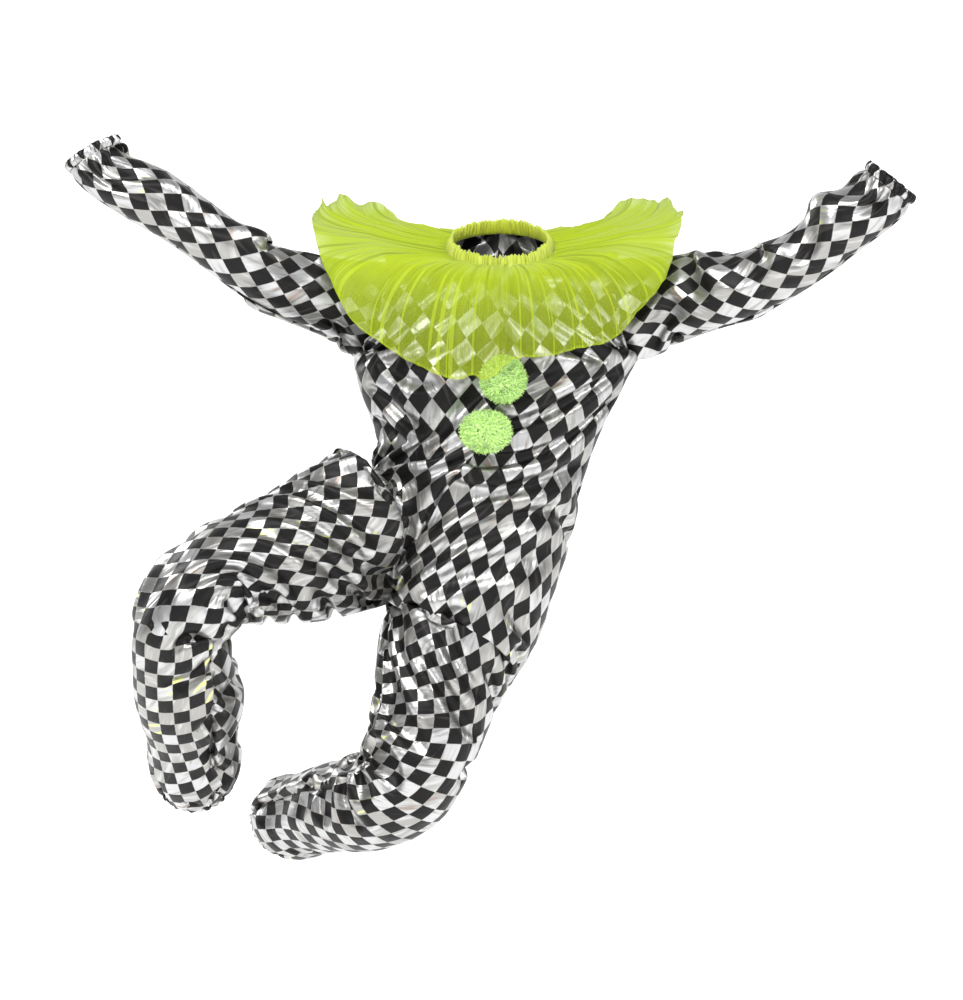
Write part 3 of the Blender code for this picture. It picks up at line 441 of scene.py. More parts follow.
CHECK_WIDTH = 0.0385    # diagonals of one diamond of the print
CHECK_LENGTH = 0.0500
BLACK = (0.0050, 0.0042, 0.0042, 1.0)
# painted sheen: faint light streaks mixed into the black's colour
BLACK_PAINTED_SHEEN = (0.5, 0.47, 0.44, 1.0)
FOIL = (0.46, 0.46, 0.46, 1.0)
# painted shade: the dark end of the foil's streaks
FOIL_PAINTED_SHADE = (0.30, 0.295, 0.28, 1.0)
# painted shade in the troughs of the foil's fine crinkles
FOIL_PAINTED_CREASE_SHADE = (0.055, 0.048, 0.040, 1.0)
FOIL_EDGE = (0.42, 0.41, 0.38, 1.0)
# painted reflections of nearby coloured things: lime green like the ruff, and a warm pinkish brown
FOIL_PAINTED_REFLECTIONS = (
    Tint((0.72, 0.75, 0.14, 1.0), 0.75, (0.60, 0.66), (0.55, 0.62)),
    Tint((0.26, 0.17, 0.14, 1.0), 0.55, (0.38, 0.32), (0.45, 0.38)),
)
PATCH_CELLS = 5.0       # cells to a metre of the broad patches
PAINTED_SHADE_RANGE = (0.38, 0.60)      # painted shade of the streaks, from shaded to bright, and each diamond's own painted shade, as each facet of the crinkled foil reflects differently
DIAMOND_PAINTED_SHADE = (-0.12, 0.10)
# where the painted shade of the crinkles' troughs shows, by the fine streaks
PAINTED_CREASE_SHADE = Blend(0.32, 0.25, 0.40)
# where the painted sheen shows on the black, by the broad streaks
PAINTED_SHEEN = Blend(0.60, 0.72, 0.035)
EDGES = Blend(0.030, 0.012, 0.35)
FOIL_METAL = 0.88
FOIL_GLOSS = -0.10      # what the foil takes off the cloth's roughness
CLOTH_ROUGHNESS = (0.40, 0.50)
CLOTH_SPECULAR = 0.17
FINE_STREAKS = Streaks(0.14, 330.0, 2.0, 0.55)
BROAD_STREAKS = Streaks(0.14, 95.0, 1.5, 0.45)
STREAK_RANGE = (0.3, 0.7)       # where noise is taken to start and end
STREAK_TURN = 0.9       # how far a diamond's streaks turn off the cloth's length, in radians
TURN_CELLS = 0.21       # how often they turn, in cells to a diamond
FINE_SHARE_PAINTED_SHADE = 0.24        # share of the fine streaks in the foil's painted shade and in its relief
FINE_SHARE_RELIEF = 0.12
CRINKLE = Relief(0.0030, 0.65)
CRINKLE_ON_FOIL = 0.8   # depth of the crinkles on foil, over that on black, and on black
CRINKLE_ON_BLACK = 0.2
KNIT = Relief(0.0001, 0.25)
KNIT_LOOPS = Streaks(0.6, 1600.0)

ORGANZA = (0.36, 0.45, 0.012, 1.0)
ORGANZA_DEEP = (0.24, 0.32, 0.006, 1.0)
ORGANZA_LINE = (0.13, 0.19, 0.005, 1.0)
ORGANZA_FINISH = {
    "Roughness": 0.55, "Specular IOR Level": 0.2, "Sheen Weight": 0.05, "Sheen Roughness": 0.4,
}
# How much the ruff's plain cloth hides, its most, and what each feature adds
COVER_CLOTH = 0.38
COVER_MOST = 0.97
COVER_TURNED_AWAY = 0.40
COVER_THREADS = 0.10
COVER_SIDES = Blend(0.20, 0.38, 0.40)       # by the way along the strip from the front
COVER_HEM = Blend(1.0 - 1.2 * RUFF_HEM_WIDTH, 1.0 - RUFF_HEM_WIDTH, 0.14)
COVER_GATHERS = Blend(0.88, 0.12, 0.40)     # by the part of the way to the hem
COVER_FOLDED = Blend(0.58, 0.62, 0.22)
COVER_CREASES = Blend(0.026, 0.006, 0.20)
FACING_BLEND = 0.35
SIDES_PAINTED_SHADE = 0.55     # how much deeper the colour is at the sides, where it is painted shade, and on creases
CREASES_DEEPER = 0.6
ORGANZA_TONES = Streaks(0.12, 60.0, 2.0)
ORGANZA_FOLDS = Streaks(0.02, 120.0)
ORGANZA_THREADS = Streaks(0.05, 420.0, 2.0)
ORGANZA_CREASES = Streaks(0.018, 55.0)
WEAVE = Relief(0.00008, 0.3)
WEAVE_CELLS = Streaks(1.0, 2200.0)

NEON_DEEP = (0.28, 0.34, 0.003, 1.0)
NEON_BRIGHT = (0.37, 0.43, 0.005, 1.0)
NEON_TONES = Streaks(0.25, 130.0, 2.0)
NEON_FINISH = {"Roughness": 0.5, "Sheen Weight": 0.3}
NEON_KNIT = Relief(0.00012, 0.4)
NEON_LOOPS = Streaks(1.0, 1500.0)
# painted shade: the yarn is darker towards its roots, deep among the strands
YARN_ROOT_PAINTED_SHADE = (0.33, 0.70, 0.12, 1.0)
YARN_BRIGHT = (0.54, 0.84, 0.21, 1.0)
YARN_PALE = (0.72, 0.92, 0.40, 1.0)
YARN_PALE_SHARE = 0.45
YARN_FULL_SHADE_END = 0.1     # part of a strand over which it has its full painted shade
# A painted glow: the yarn gives off light of its own colour, standing in for its fluorescent dye and
# lifting the shade among its strands
YARN_FINISH_AND_PAINTED_GLOW = {"Emission Strength": 0.10, "Roughness": 0.75, "Sheen Weight": 0.4}

# ---------------------------------------------------------------- camera, floor and light
CAMERA_PLACE = Vector((-0.0296, -4.0, -0.411))
CAMERA_LENS = 90.0
CAMERA_FAR = 60.0
SENSOR = 36.0
FLOOR_Z = -1.16
FLOOR_NEAR = -9.0       # the floor's near edge, its half width and the backdrop's top
FLOOR_HALF_WIDTH = 14.0
BACKDROP_TOP = 9.0
SWEEP_START = 6.0       # where the floor starts to sweep up into the backdrop
SWEEP_RADIUS = 2.5
SWEEP_STEPS = 12
# It gives off light itself, which lights it up evenly, as lamps behind it would
FLOOR_FINISH = {
    "Base Color": (0.86, 0.86, 0.86, 1.0), "Roughness": 0.9,
    "Emission Color": (1.0, 1.0, 1.0, 1.0), "Emission Strength": 0.62,
}
SKY_COLOUR = (0.95, 0.97, 1.0, 1.0)
SKY_STRENGTH = 0.35

Lamp = namedtuple("Lamp", "name x y z width height power")
LAMPS = (
    Lamp("key", -1.6, -3.2, 1.8, 1.5, 1.5, 130.0),
    Lamp("fill", 2.4, -2.8, 1.3, 1.4, 1.8, 70.0),
    Lamp("top", 0.0, -1.6, 2.3, 2.2, 1.2, 60.0),
    Lamp("back left", -2.4, 1.8, 0.9, 1.0, 2.0, 45.0),
    Lamp("back right", 2.4, 1.8, 0.9, 1.0, 2.0, 45.0),
)
LAMP_TARGET = Vector((-0.05, 0.0, -0.42))


# ---------------------------------------------------------------- small helpers
def unit(vector):
    """A vector at length one."""
    return vector / np.linalg.norm(vector)


def unit_rows(vectors):
    """Each row's vector at length one."""
    return vectors / np.maximum(np.linalg.norm(vectors, axis=-1, keepdims=True), TINY)


def square_to(vector, axis):
    """The part of a vector that is square to an axis, as a unit vector."""
    return unit(vector - axis * np.dot(vector, axis))


def hermite(start, end, start_slope, end_slope, part):
    """Cubic between two points with the given slopes."""
    square, cube = part ** 2, part ** 3
    return ((2 * cube - 3 * square + 1) * start + (cube - 2 * square + part) * start_slope
            + (3 * square - 2 * cube) * end + (cube - square) * end_slope)


def smooth_step(low, high, value):
    """A smooth rise from 0 to 1."""
    part = np.clip((value - low) / (high - low), 0.0, 1.0)
    return part * part * (3.0 - 2.0 * part)


def between(first, last, part):
    """The value a part of the way from the first to the last."""
    return first + (last - first) * part


def running(steps):
    """The running total of each row of steps, from 0."""
    return np.concatenate((np.zeros_like(steps[..., :1]), np.cumsum(steps, axis=-1)), axis=-1)


def step_lengths(line):
    """The lengths from each point of a line, or row of a grid, to the next."""
    return np.linalg.norm(np.diff(line, axis=0), axis=-1)


def on_line(points, places, wanted):
    """Points of a line at the wanted places along it."""
    return np.stack([np.interp(wanted, places, points[:, axis]) for axis in range(3)], axis=1)


def hashed(cells, seed):
    """A repeatable number from -1 to 1 for each whole-numbered point."""
    mixed = sum(cells[..., axis] * step for axis, step in enumerate(HASH_STEPS)) + seed * HASH_MIX
    mixed &= 0xFFFFFFFF
    mixed = ((mixed ^ (mixed >> 13)) * HASH_MIX) & 0xFFFFFFFF
    mixed = (mixed ^ (mixed >> 16)) & 0xFFFFFF
    return mixed / float(0x7FFFFF) - 1.0


def noise(points, seed=0):
    """Smooth value noise from -1 to 1 at an array of 3-D points, one cell per unit."""
    base = np.floor(points).astype(np.int64)
    part = points - base
    part = part * part * (3.0 - 2.0 * part)
    total = np.zeros(points.shape[:-1])
    for corner in np.ndindex(2, 2, 2):
        corner = np.array(corner)
        weight = np.prod(np.where(corner == 1, part, 1.0 - part), axis=-1)
        total += weight * hashed(base + corner, seed)
    return total


def noise_vector(points, seeds):
    """Noise in as many directions as there are seeds."""
    return np.stack([noise(points, seed) for seed in seeds], axis=-1)


def ridges(points, seed=0):
    """Noise with narrow crests: 1 along the crest lines and towards 0 between them."""
    return 1.0 - np.abs(noise(points, seed)) * 2.0


# ---------------------------------------------------------------- coarse grids
def sample(table, count):
    """Rows evenly spaced along a table's centres, on a curve through every row."""
    rows = np.array([row[1:] for row in table], dtype=float)
    steps = step_lengths(rows[:, :3])
    knots = running(steps)
    slopes = np.gradient(rows, knots, axis=0)
    places = np.linspace(0.0, knots[-1], count + 1)
    cell = np.clip(np.searchsorted(knots, places, side="right") - 1, 0, len(steps) - 1)
    length = steps[cell][:, None]
    part = (places[:, None] - knots[cell][:, None]) / length
    return hermite(rows[cell], rows[cell + 1], slopes[cell] * length, slopes[cell + 1] * length, part)


def torso_row(section, side, half):
    """Points of one section from the centre front or back round to the side seam."""
    centre, (half_width, half_depth, turn, roll, pitch) = section[:3], section[3:]
    across = np.array((math.cos(math.radians(roll)), 0.0, -math.sin(math.radians(roll))))
    front = np.array((0.0, -math.cos(math.radians(pitch)), math.sin(math.radians(pitch))))
    start = 0.0 if half == "front" else 180.0
    angles = np.radians(np.linspace(SIGN[side] * start + turn, SIGN[side] * 90.0, PANEL_COLUMNS + 1))
    return (centre + half_width * np.sin(angles)[:, None] * across
            + half_depth * np.cos(angles)[:, None] * front)


def tube_frames(stations, outer):
    """Tangent and outer direction at each section of a leg or sleeve."""
    tangents = unit_rows(np.gradient(stations[:, :3], axis=0))
    return tangents, np.array([square_to(outer, tangent) for tangent in tangents])


def crotch_pull(index, centre, inseam):
    """Shift of a leg row that brings its inseam over to the crotch point."""
    if index >= CROTCH_PULL_ROWS:
        return 0.0
    fade = (1.0 - index / CROTCH_PULL_ROWS) ** 2
    along = np.cos(np.linspace(0.0, math.pi / 2, PANEL_COLUMNS + 1)) ** 2
    target = CROTCH if index == 0 else inseam + (CROTCH - centre) * CROTCH_LEAN
    return fade * along[:, None] * (target - inseam)


def section_points(station, outer, front, angles):
    """Points round one section of a tube, from its outer side towards its front."""
    half_width, half_front, half_back, _ = station[3:]
    depth = np.where(np.sin(angles) > 0, half_front, half_back)
    return (station[:3] + (half_width * np.cos(angles))[:, None] * outer
            + (depth * np.sin(angles))[:, None] * front)


def leg_rows(table, side, half):
    """Rows of one leg panel, from the crotch line down, inseam to side seam."""
    stations = sample(table, LEG_ROWS)
    tangents, outers = tube_frames(stations, LEG_OUTER[side])
    fronts = np.cross(outers, tangents) if side == "left" else np.cross(tangents, outers)
    angles = np.linspace(0.0, math.pi if half == "front" else -math.pi, PANEL_COLUMNS + 1)
    rows = []
    for index, (station, outer, front) in enumerate(zip(stations, outers, fronts)):
        row = section_points(station, -outer, front, angles + math.radians(station[-1]))
        rows.append(row + crotch_pull(index, station[:3], row[0]))
    return np.array(rows)


def middle_plane(hip_front, hip_back):
    """Normal of the plane that holds the whole rise; it points to the left leg's side."""
    return unit(np.cross(hip_front - CROTCH, hip_back - CROTCH))


def kept_apart(row, side, plane, floor):
    """A row pushed off the middle plane, so that the two legs press but never cross."""
    away = -SIGN[side]
    distance = away * (row - CROTCH) @ plane
    return row + away * np.maximum(floor - distance, 0.0)[:, None] * plane


def apart_floor():
    """How far off the middle plane a row stays, from its inner side across."""
    across = np.linspace(0.0, 1.0, PANEL_COLUMNS + 1)
    return APART * (1.0 - (1.0 - across) ** 3)


def separate_legs(leg, side, plane):
    """The upper rows of a leg, each kept on its own side of the middle plane."""
    rows = leg.copy()
    for index in range(APART_ROWS):
        rows[index] = kept_apart(leg[index], side, plane, apart_floor() + APART_STEP * index)
    return rows


def rise_slopes(leg, torso, half, plane):
    """How each column leaves the crotch line and reaches the hip line."""
    chord = np.linalg.norm(torso[-1] - leg[0], axis=1, keepdims=True)
    along_leg = unit_rows(leg[0] - leg[1])
    rise_start = square_to(RISE_FRONT if half == "front" else RISE_BACK, plane)
    across = np.linspace(0.0, 1.0, PANEL_COLUMNS + 1)
    blend = np.clip(1.0 - across / RISE_BLEND, 0.0, 1.0)[:, None]
    start = unit_rows(along_leg * (1.0 - blend) + rise_start * blend) * chord * RISE_START_PULL
    end = unit_rows(torso[-2] - torso[-1]) * chord * RISE_END_PULL
    end[0] = square_to(end[0], plane) * np.linalg.norm(end[0])
    return start, end


def rise_rows(leg, torso, side, half, plane):
    """Rows from the crotch line up to the hip line, with the curve of the rise."""
    start, end = rise_slopes(leg, torso, half, plane)
    floor = apart_floor()
    floor[0] = -1.0     # the rise itself may lie on the middle plane
    rows = []
    for step in range(1, RISE_ROWS):
        row = hermite(leg[0], torso[-1], start, end, step / RISE_ROWS)
        rows.append(kept_apart(row, side, plane, floor))
    return rows


def neckline(angle):
    """A point of the neckline; 0 is the centre front and a quarter turn the right side."""
    return (NECK_CENTRE + np.array((NECK_HALF_WIDTH * math.sin(angle), 0.0, 0.0))
            - NECK_HALF_DEPTH * math.cos(angle) * NECK_SLOPE)


def armhole(side, half, underarm):
    """Points of half an armhole from the underarm up to the shoulder."""
    shoulder = SHOULDER[side]
    swing = -ARMHOLE_DEPTH if half == "front" else ARMHOLE_DEPTH
    inward = -SIGN[side] * ARMHOLE_INSET
    part = np.linspace(0.0, math.pi, HALF_ARMHOLE + 1)[:, None]
    middle = (underarm + shoulder) / 2
    return (middle + (underarm - shoulder) / 2 * np.cos(part)
            + np.sin(part) * np.array((inward, swing, 0.0)))


def yoke_edges(underarm_row, side, half):
    """The neck edge, armhole and shoulder seam of a panel above its underarm."""
    start = 0.0 if half == "front" else math.pi
    centre_rows = HALF_ARMHOLE // 2
    middle, neck_point = underarm_row[0], neckline(SIGN[side] * start)
    rising = [middle + (neck_point - middle) * step / centre_rows for step in range(centre_rows)]
    turning = [neckline(SIGN[side] * angle) for angle in np.linspace(start, math.pi / 2, centre_rows + 1)]
    inner = np.array(rising + turning)
    outer = armhole(side, half, underarm_row[-1])
    across = np.linspace(0.0, 1.0, PANEL_COLUMNS + 1)[:, None]
    return inner, outer, inner[-1] + (outer[-1] - inner[-1]) * across


def yoke_rows(underarm_row, side, half):
    """Rows from the underarm up to the shoulder seam, blended from their four edges."""
    inner, outer, shoulder_seam = yoke_edges(underarm_row, side, half)
    across = np.linspace(0.0, 1.0, PANEL_COLUMNS + 1)[:, None]
    rows = []
    for step in range(1, HALF_ARMHOLE + 1):
        up = step / HALF_ARMHOLE
        sides = inner[step] * (1 - across) + outer[step] * across
        ends = underarm_row * (1 - up) + shoulder_seam * up
        rows.append(sides + ends - (ends[0] * (1 - across) + ends[-1] * across))
    return rows


def body_grid(side, half):
    """One body panel, ankle to shoulder, centre or inseam to side seam and armhole."""
    sections = sample(TORSO, TORSO_ROWS)
    torso = np.array([torso_row(section, side, half) for section in sections])
    hip_front, hip_back = (torso_row(sections[-1], side, name)[0] for name in ("front", "back"))
    plane = middle_plane(hip_front, hip_back)
    leg = separate_legs(leg_rows(LEGS[side], side, half), side, plane)
    rows = list(leg[::-1]) + rise_rows(leg, torso, side, half, plane) + list(torso[::-1])
    return np.array(rows + yoke_rows(torso[0], side, half))


def sleeve_rings(side):
    """Rings of points round a sleeve, from its head to its cuff."""
    stations = sample(SLEEVES[side], SLEEVE_ROWS)
    tangents, downs = tube_frames(stations, -UP)
    fronts = np.cross(downs, tangents) if side == "right" else np.cross(tangents, downs)
    angles = np.linspace(0.0, FULL_TURN, 2 * HALF_ARMHOLE, endpoint=False)
    rings = []
    for index, (station, tangent, down, ahead) in enumerate(zip(stations, tangents, downs, fronts)):
        slant = SLEEVE_SLANT[side] * (index / SLEEVE_ROWS) ** 3
        rings.append(section_points(station, down, ahead, angles)
                     + (slant * np.cos(angles))[:, None] * tangent)
    return rings


def sleeve_grid(side, front, back):
    """A sleeve from its armhole to its cuff, round from the underarm by the front."""
    loop = np.concatenate((front[-HALF_ARMHOLE - 1:, -1], back[-2:-HALF_ARMHOLE - 1:-1, -1]))
    rings = sleeve_rings(side)
    outward = SLEEVE_OUTWARD * np.array((SIGN[side], 1.0, 1.0))
    chord = np.linalg.norm(rings[0] - loop, axis=1, keepdims=True)
    join = [hermite(loop, rings[0], outward * chord, unit_rows(rings[1] - rings[0]) * chord, part)
            for part in SLEEVE_JOIN]
    return np.array([loop] + join + rings)


# ---------------------------------------------------------------- fine grids
def through(line, cells):
    """A smooth curve through a line of points; the line has one ghost point at each end."""
    before, start, end, after = line[:-3], line[1:-2], line[2:-1], line[3:]
    part = (np.arange(cells) / cells).reshape((1, cells) + (1,) * (line.ndim - 1))
    before, start, end, after = (points[:, None] for points in (before, start, end, after))
    curve = 0.5 * (2 * start + (end - before) * part
                   + (2 * before - 5 * start + 4 * end - after) * part ** 2
                   + (3 * (start - end) + after - before) * part ** 3)
    flat = curve.reshape((-1,) + line.shape[1:])
    return np.concatenate((flat, line[-2:-1]))


def through_columns(grid, cells):
    """The same across a grid, through each of its rows."""
    return np.swapaxes(through(np.swapaxes(grid, 0, 1), cells), 0, 1)


def with_ghosts(line):
    """A line of points with one more at each end, straight on."""
    return np.concatenate((2 * line[:1] - line[1:2], line, 2 * line[-1:] - line[-2:-1]))


def split_through(line, corners, cells):
    """The smooth curve through a seam that turns a corner at some of its points."""
    stops = [0, *corners, len(line) - 1]
    runs = [through(with_ghosts(line[start:stop + 1]), cells)[:-1]
            for start, stop in zip(stops[:-1], stops[1:])]
    return np.concatenate(runs + [line[-1:]])


def fine_panel(grids, side, half):
    """A panel's fine grid, smooth across its seams where the next piece carries on."""
    grid = grids[f"{half}_{side}"]
    other_half = grids[f"{HALVES[1 - HALVES.index(half)]}_{side}"]
    other_side = grids[f"{half}_{SIDES[1 - SIDES.index(side)]}"]
    inner = 2 * grid[:, 0] - grid[:, 1]
    inner[:LEG_ROWS + 1] = other_half[:LEG_ROWS + 1, 1]
    inner[LEG_ROWS + 1:NECK_ROW] = other_side[LEG_ROWS + 1:NECK_ROW, 1]
    outer = 2 * grid[:, -1] - grid[:, -2]
    outer[:UNDERARM_ROW + 1] = other_half[:UNDERARM_ROW + 1, -2]
    wide = np.concatenate((inner[:, None], grid, outer[:, None]), axis=1)
    rows = np.concatenate((2 * wide[:1] - wide[1:2], wide, other_half_top(wide, other_half)))
    fine = through_columns(through(rows, ROW_CELLS), COLUMN_CELLS)
    fine[:, 0] = split_through(grid[:, 0], (LEG_ROWS, NECK_ROW), ROW_CELLS)
    fine[:, -1] = split_through(grid[:, -1], (UNDERARM_ROW,), ROW_CELLS)
    return fine


def other_half_top(wide, other_half):
    """The ghost row past the shoulder seam: the other half's own row below the seam."""
    ghost = 2 * wide[-1:] - wide[-2:-1]
    ghost[0, 1:-1] = other_half[-2]
    return ghost


def fine_sleeve(grid, front, back):
    """A sleeve's fine grid; its first ring is the panels' own armhole."""
    ring = np.concatenate((grid[:, -1:], grid, grid[:, :2]), axis=1)
    around = through_columns(ring, SLEEVE_COLUMN_CELLS)[:, :-1]
    fine = through(with_ghosts(around), SLEEVE_ROW_CELLS)
    every = ROW_CELLS // SLEEVE_COLUMN_CELLS
    start = UNDERARM_ROW * ROW_CELLS
    up, down = front[start::every, -1], back[start::every, -1][::-1]
    fine[0] = np.concatenate((up, down[1:-1]))
    return fine


def point_normals(grid, flip, closed):
    """Unit normals at the points of one grid."""
    wrapped = np.concatenate((grid, grid[:, :1]), axis=1) if closed else grid
    across, up = wrapped[:-1, 1:] - wrapped[1:, :-1], wrapped[1:, 1:] - wrapped[:-1, :-1]
    faces = np.cross(across, up) * (-1.0 if flip else 1.0)
    sums = np.zeros_like(grid)
    columns = np.arange(faces.shape[1])
    for over in (0, 1):
        target = (columns + over) % grid.shape[1]
        sums[:-1, target] += faces
        sums[1:, target] += faces
    return unit_rows(sums)


def stacked(fields):
    """The points of several sheets, one after another in one array."""
    return np.concatenate([field.reshape(-1, field.shape[-1]) for field in fields.values()])


def unstacked(points, fields):
    """Each sheet's own points, as a view into the one array that holds them all."""
    sheets, start = {}, 0
    for name, field in fields.items():
        count = field.shape[0] * field.shape[1]
        sheets[name] = points[start:start + count].reshape(field.shape)
        start += count
    return sheets


def same_place(points):
    """The number of each point's place, alike where points of different pieces meet."""
    keys = np.round(points * WELD_GRID).astype(np.int64)
    _, places, counts = np.unique(keys, axis=0, return_inverse=True, return_counts=True)
    return places.reshape(-1), counts


def sums_by_place(vectors, places):
    """The sum of the vectors at each place."""
    return np.stack([np.bincount(places, weights=vectors[:, axis]) for axis in range(3)], axis=1)


def shared_normals(grids, flips, closed):
    """Normals of each grid; where grids share a point, halfway between their own normals."""
    own = {name: point_normals(grid, flips[name], closed[name]) for name, grid in grids.items()}
    places, _ = same_place(stacked(grids))
    shared = unit_rows(sums_by_place(stacked(own), places))[places]
    return unstacked(shared, grids)


# ---------------------------------------------------------------- layout of the cut
def row_lengths(grid):
    """Cut length from each row to the next: that of the panel's longer columns."""
    return np.percentile(step_lengths(grid), LONG_THREADS, axis=1)


def eased_threads(name, sheet, rows):
    """The lengths of a sheet's threads on the flat cloth."""
    table_rows, *eases = zip(*FINE_EASE[name])
    long_ease, wide_ease = (np.interp(rows, table_rows, values)[:, None] for values in eases)
    shown = thread_lengths(sheet)
    diagonal = (long_ease[1:] + wide_ease[1:]) / 2
    return Threads(shown.along * long_ease[1:], shown.across * wide_ease,
                   shown.falling * diagonal, shown.rising * diagonal)


def cut_layout(name, sheet):
    """Where each settled point lies on the flat cloth, in metres, before the print starts."""
    cells = SLEEVE_ROW_CELLS // SLEEVE_STEP if name.startswith("sleeve") else ROW_CELLS // PANEL_STEP
    rows = np.arange(len(sheet)) / cells
    rests = eased_threads(name, sheet, rows)
    turns = np.radians(np.interp(rows, *zip(*GRAIN[name])))
    lengths = np.mean(rests.along, axis=1)
    steps = turned(np.stack((np.zeros_like(lengths), lengths), axis=1), (turns[1:] + turns[:-1]) / 2)
    centre = np.concatenate((np.zeros((1, 2)), np.cumsum(steps, axis=0)))
    across = running(rests.across)
    across -= across[:, sheet.shape[1] // 2][:, None]
    offset = turned(np.stack((across, np.zeros_like(across)), axis=-1), turns[:, None])
    layout = centre[:, None] - centre[-1] + offset
    for _ in range(LAYOUT_PASSES):
        relax(layout, rests, 1.0)
    return refined(name, layout)


def turned(vectors, angles):
    """Flat vectors, each turned by its own angle."""
    cosine, sine = np.cos(angles), np.sin(angles)
    return np.stack((vectors[..., 0] * cosine - vectors[..., 1] * sine,
                     vectors[..., 0] * sine + vectors[..., 1] * cosine), axis=-1)


def gather_share(name, grid):
    """For each row, from 0 on free cloth to 1 at the gathers of a wrist or ankle."""
    lengths = running(row_lengths(grid))
    distance = lengths[-1] - lengths if name.startswith("sleeve") else lengths
    return 1.0 - smooth_step(0.0, GATHER_REACH, distance)


# ---------------------------------------------------------------- creases
def fold_height(points, normals):
    """How far the placed creases move each point out along its normal."""
    height = np.zeros(points.shape[:-1])
    seen = points[..., [0, 2]] + noise_vector(points / FOLD_WANDER_CELL, FOLD_SEEDS) * FOLD_WANDER
    for fold in FOLDS:
        start, end = np.array((fold.x0, fold.z0)), np.array((fold.x1, fold.z1))
        offset = seen - start
        along = np.clip(offset @ (end - start) / np.dot(end - start, end - start), 0.0, 1.0)
        gap = np.linalg.norm(offset - along[..., None] * (end - start), axis=-1)
        facing = np.clip(-normals[..., 1] * fold.facing * FOLD_FACING, 0.0, 1.0)
        middle = np.sin(np.pi * np.clip(along, FOLD_TIP, 1.0 - FOLD_TIP))
        taper = FOLD_TAPER[0] + FOLD_TAPER[1] * middle
        height += fold.height * taper * np.exp(-(gap / fold.half_width) ** FOLD_ROUNDING) * facing
    return height


def soft_height(points):
    """Slow unevenness and faint fine creases that run all over the suit."""
    large, small = (noise(points / cell, seed) for cell, seed in zip(SOFT_CELLS, SOFT_SEEDS))
    slow = large + SOFT_SECOND * small
    warped = points + FINE_WARP * noise_vector(points / FINE_WARP_CELL, FINE_WARP_SEEDS)
    crease = ridges(warped / FINE_CELL, FINE_SEED)
    return SOFT_HEIGHT * slow + FINE_HEIGHT * np.maximum(crease, 0.0) ** 2


def gather_seeds(grid, gather):
    """Low pleats at a wrist or ankle, which start its gathers."""
    around = running(np.linalg.norm(np.diff(grid, axis=1), axis=2))
    phase = around / GATHER_PITCH + GATHER_WANDER * noise(grid / GATHER_WANDER_CELL, GATHER_SEED)
    return np.cos(FULL_TURN * phase) * GATHER_HEIGHT * gather[:, None]


# ---------------------------------------------------------------- settling the cloth
def thread_lengths(sheet):
    """The lengths between neighbouring points of a sheet."""
    pairs = ((sheet[1:], sheet[:-1]), (sheet[:, 1:], sheet[:, :-1]),
             (sheet[1:, 1:], sheet[:-1, :-1]), (sheet[1:, :-1], sheet[:-1, 1:]))
    return Threads(*(np.linalg.norm(first - second, axis=-1) for first, second in pairs))


def slack_size(points):
    """Cut size over what shows, along and across, at each point."""
    along, across = np.ones(points.shape[:-1]), np.ones(points.shape[:-1])
    for spot in SLACK:
        distance = np.linalg.norm(points - np.array((spot.x, spot.y, spot.z)), axis=-1)
        share = np.exp(-(distance / spot.radius) ** 2)
        along += (spot.along - 1.0) * share
        across += (spot.across - 1.0) * share
    return along, across


def cut_lengths(name, sheet):
    """The lengths that a sheet's threads were cut to, with cloth to spare in every bend."""
    along, across, _, _ = thread_lengths(sheet)
    ratio = np.clip(np.percentile(along, LONG_THREADS, axis=1)[:, None] / along, 1.0, MOST_BUNCHED)
    slack_along, slack_across = slack_size(sheet)
    along = along * ratio * LENGTH_EASE * slack_along[1:]
    gather = 1.0 + (GATHERED_WIDTH - 1.0) * gather_share(name, sheet)
    across = across * WIDTH_EASE * gather[:, None] * slack_across[:, 1:]
    wide, tall = (across[1:] + across[:-1]) / 2, (along[:, 1:] + along[:, :-1]) / 2
    diagonal = np.hypot(wide, tall)
    return Threads(along, across, diagonal, diagonal)


def pull(first, second, rest, stiffness):
    """Moves two sets of points towards or away from each other, to their distance at rest."""
    gap = second - first
    length = np.sqrt(np.einsum("...k,...k->...", gap, gap))
    gap *= (0.5 * stiffness * (1.0 - rest / np.maximum(length, TINY)))[..., None]
    first += gap
    second -= gap


def relax(sheet, rest, shear):
    """One pass over the threads and diagonals of a sheet, towards their lengths at rest."""
    for row in (0, 1):
        pull(sheet[row:-1:2], sheet[row + 1::2], rest.along[row::2], 1.0)
        pull(sheet[:, row:-1:2], sheet[:, row + 1::2], rest.across[:, row::2], 1.0)
        for column in (0, 1):
            pull(sheet[row:-1:2, column:-1:2], sheet[row + 1::2, column + 1::2],
                 rest.falling[row::2, column::2], shear)
            pull(sheet[row:-1:2, column + 1::2], sheet[row + 1::2, column:-1:2],
                 rest.rising[row::2, column::2], shear)


def stiffen(sheet):
    """Opens the tightest wrinkles, as the cloth's own stiffness does."""
    for lines in (sheet, np.swapaxes(sheet, 0, 1)):
        for reach, stiffness in BEND_STIFFNESS:
            bend = (lines[:-4 * reach] - 4 * lines[reach:-3 * reach] + 6 * lines[2 * reach:-2 * reach]
                    - 4 * lines[3 * reach:-reach] + lines[4 * reach:])
            lines[2 * reach:-2 * reach] -= bend * (stiffness / BEND_WEIGHTS)
        for edge in (lines[:3], lines[::-1][:3]):
            edge[1] += (edge[0] + edge[2] - 2 * edge[1]) * EDGE_STIFFNESS


def thinned(name, grid):
    """The points of a fine grid that settle; a sleeve is opened along its seam."""
    if name.startswith("sleeve"):
        return np.concatenate((grid, grid[:, :1]), axis=1)[::SLEEVE_STEP]
    return grid[::PANEL_STEP, ::PANEL_STEP]


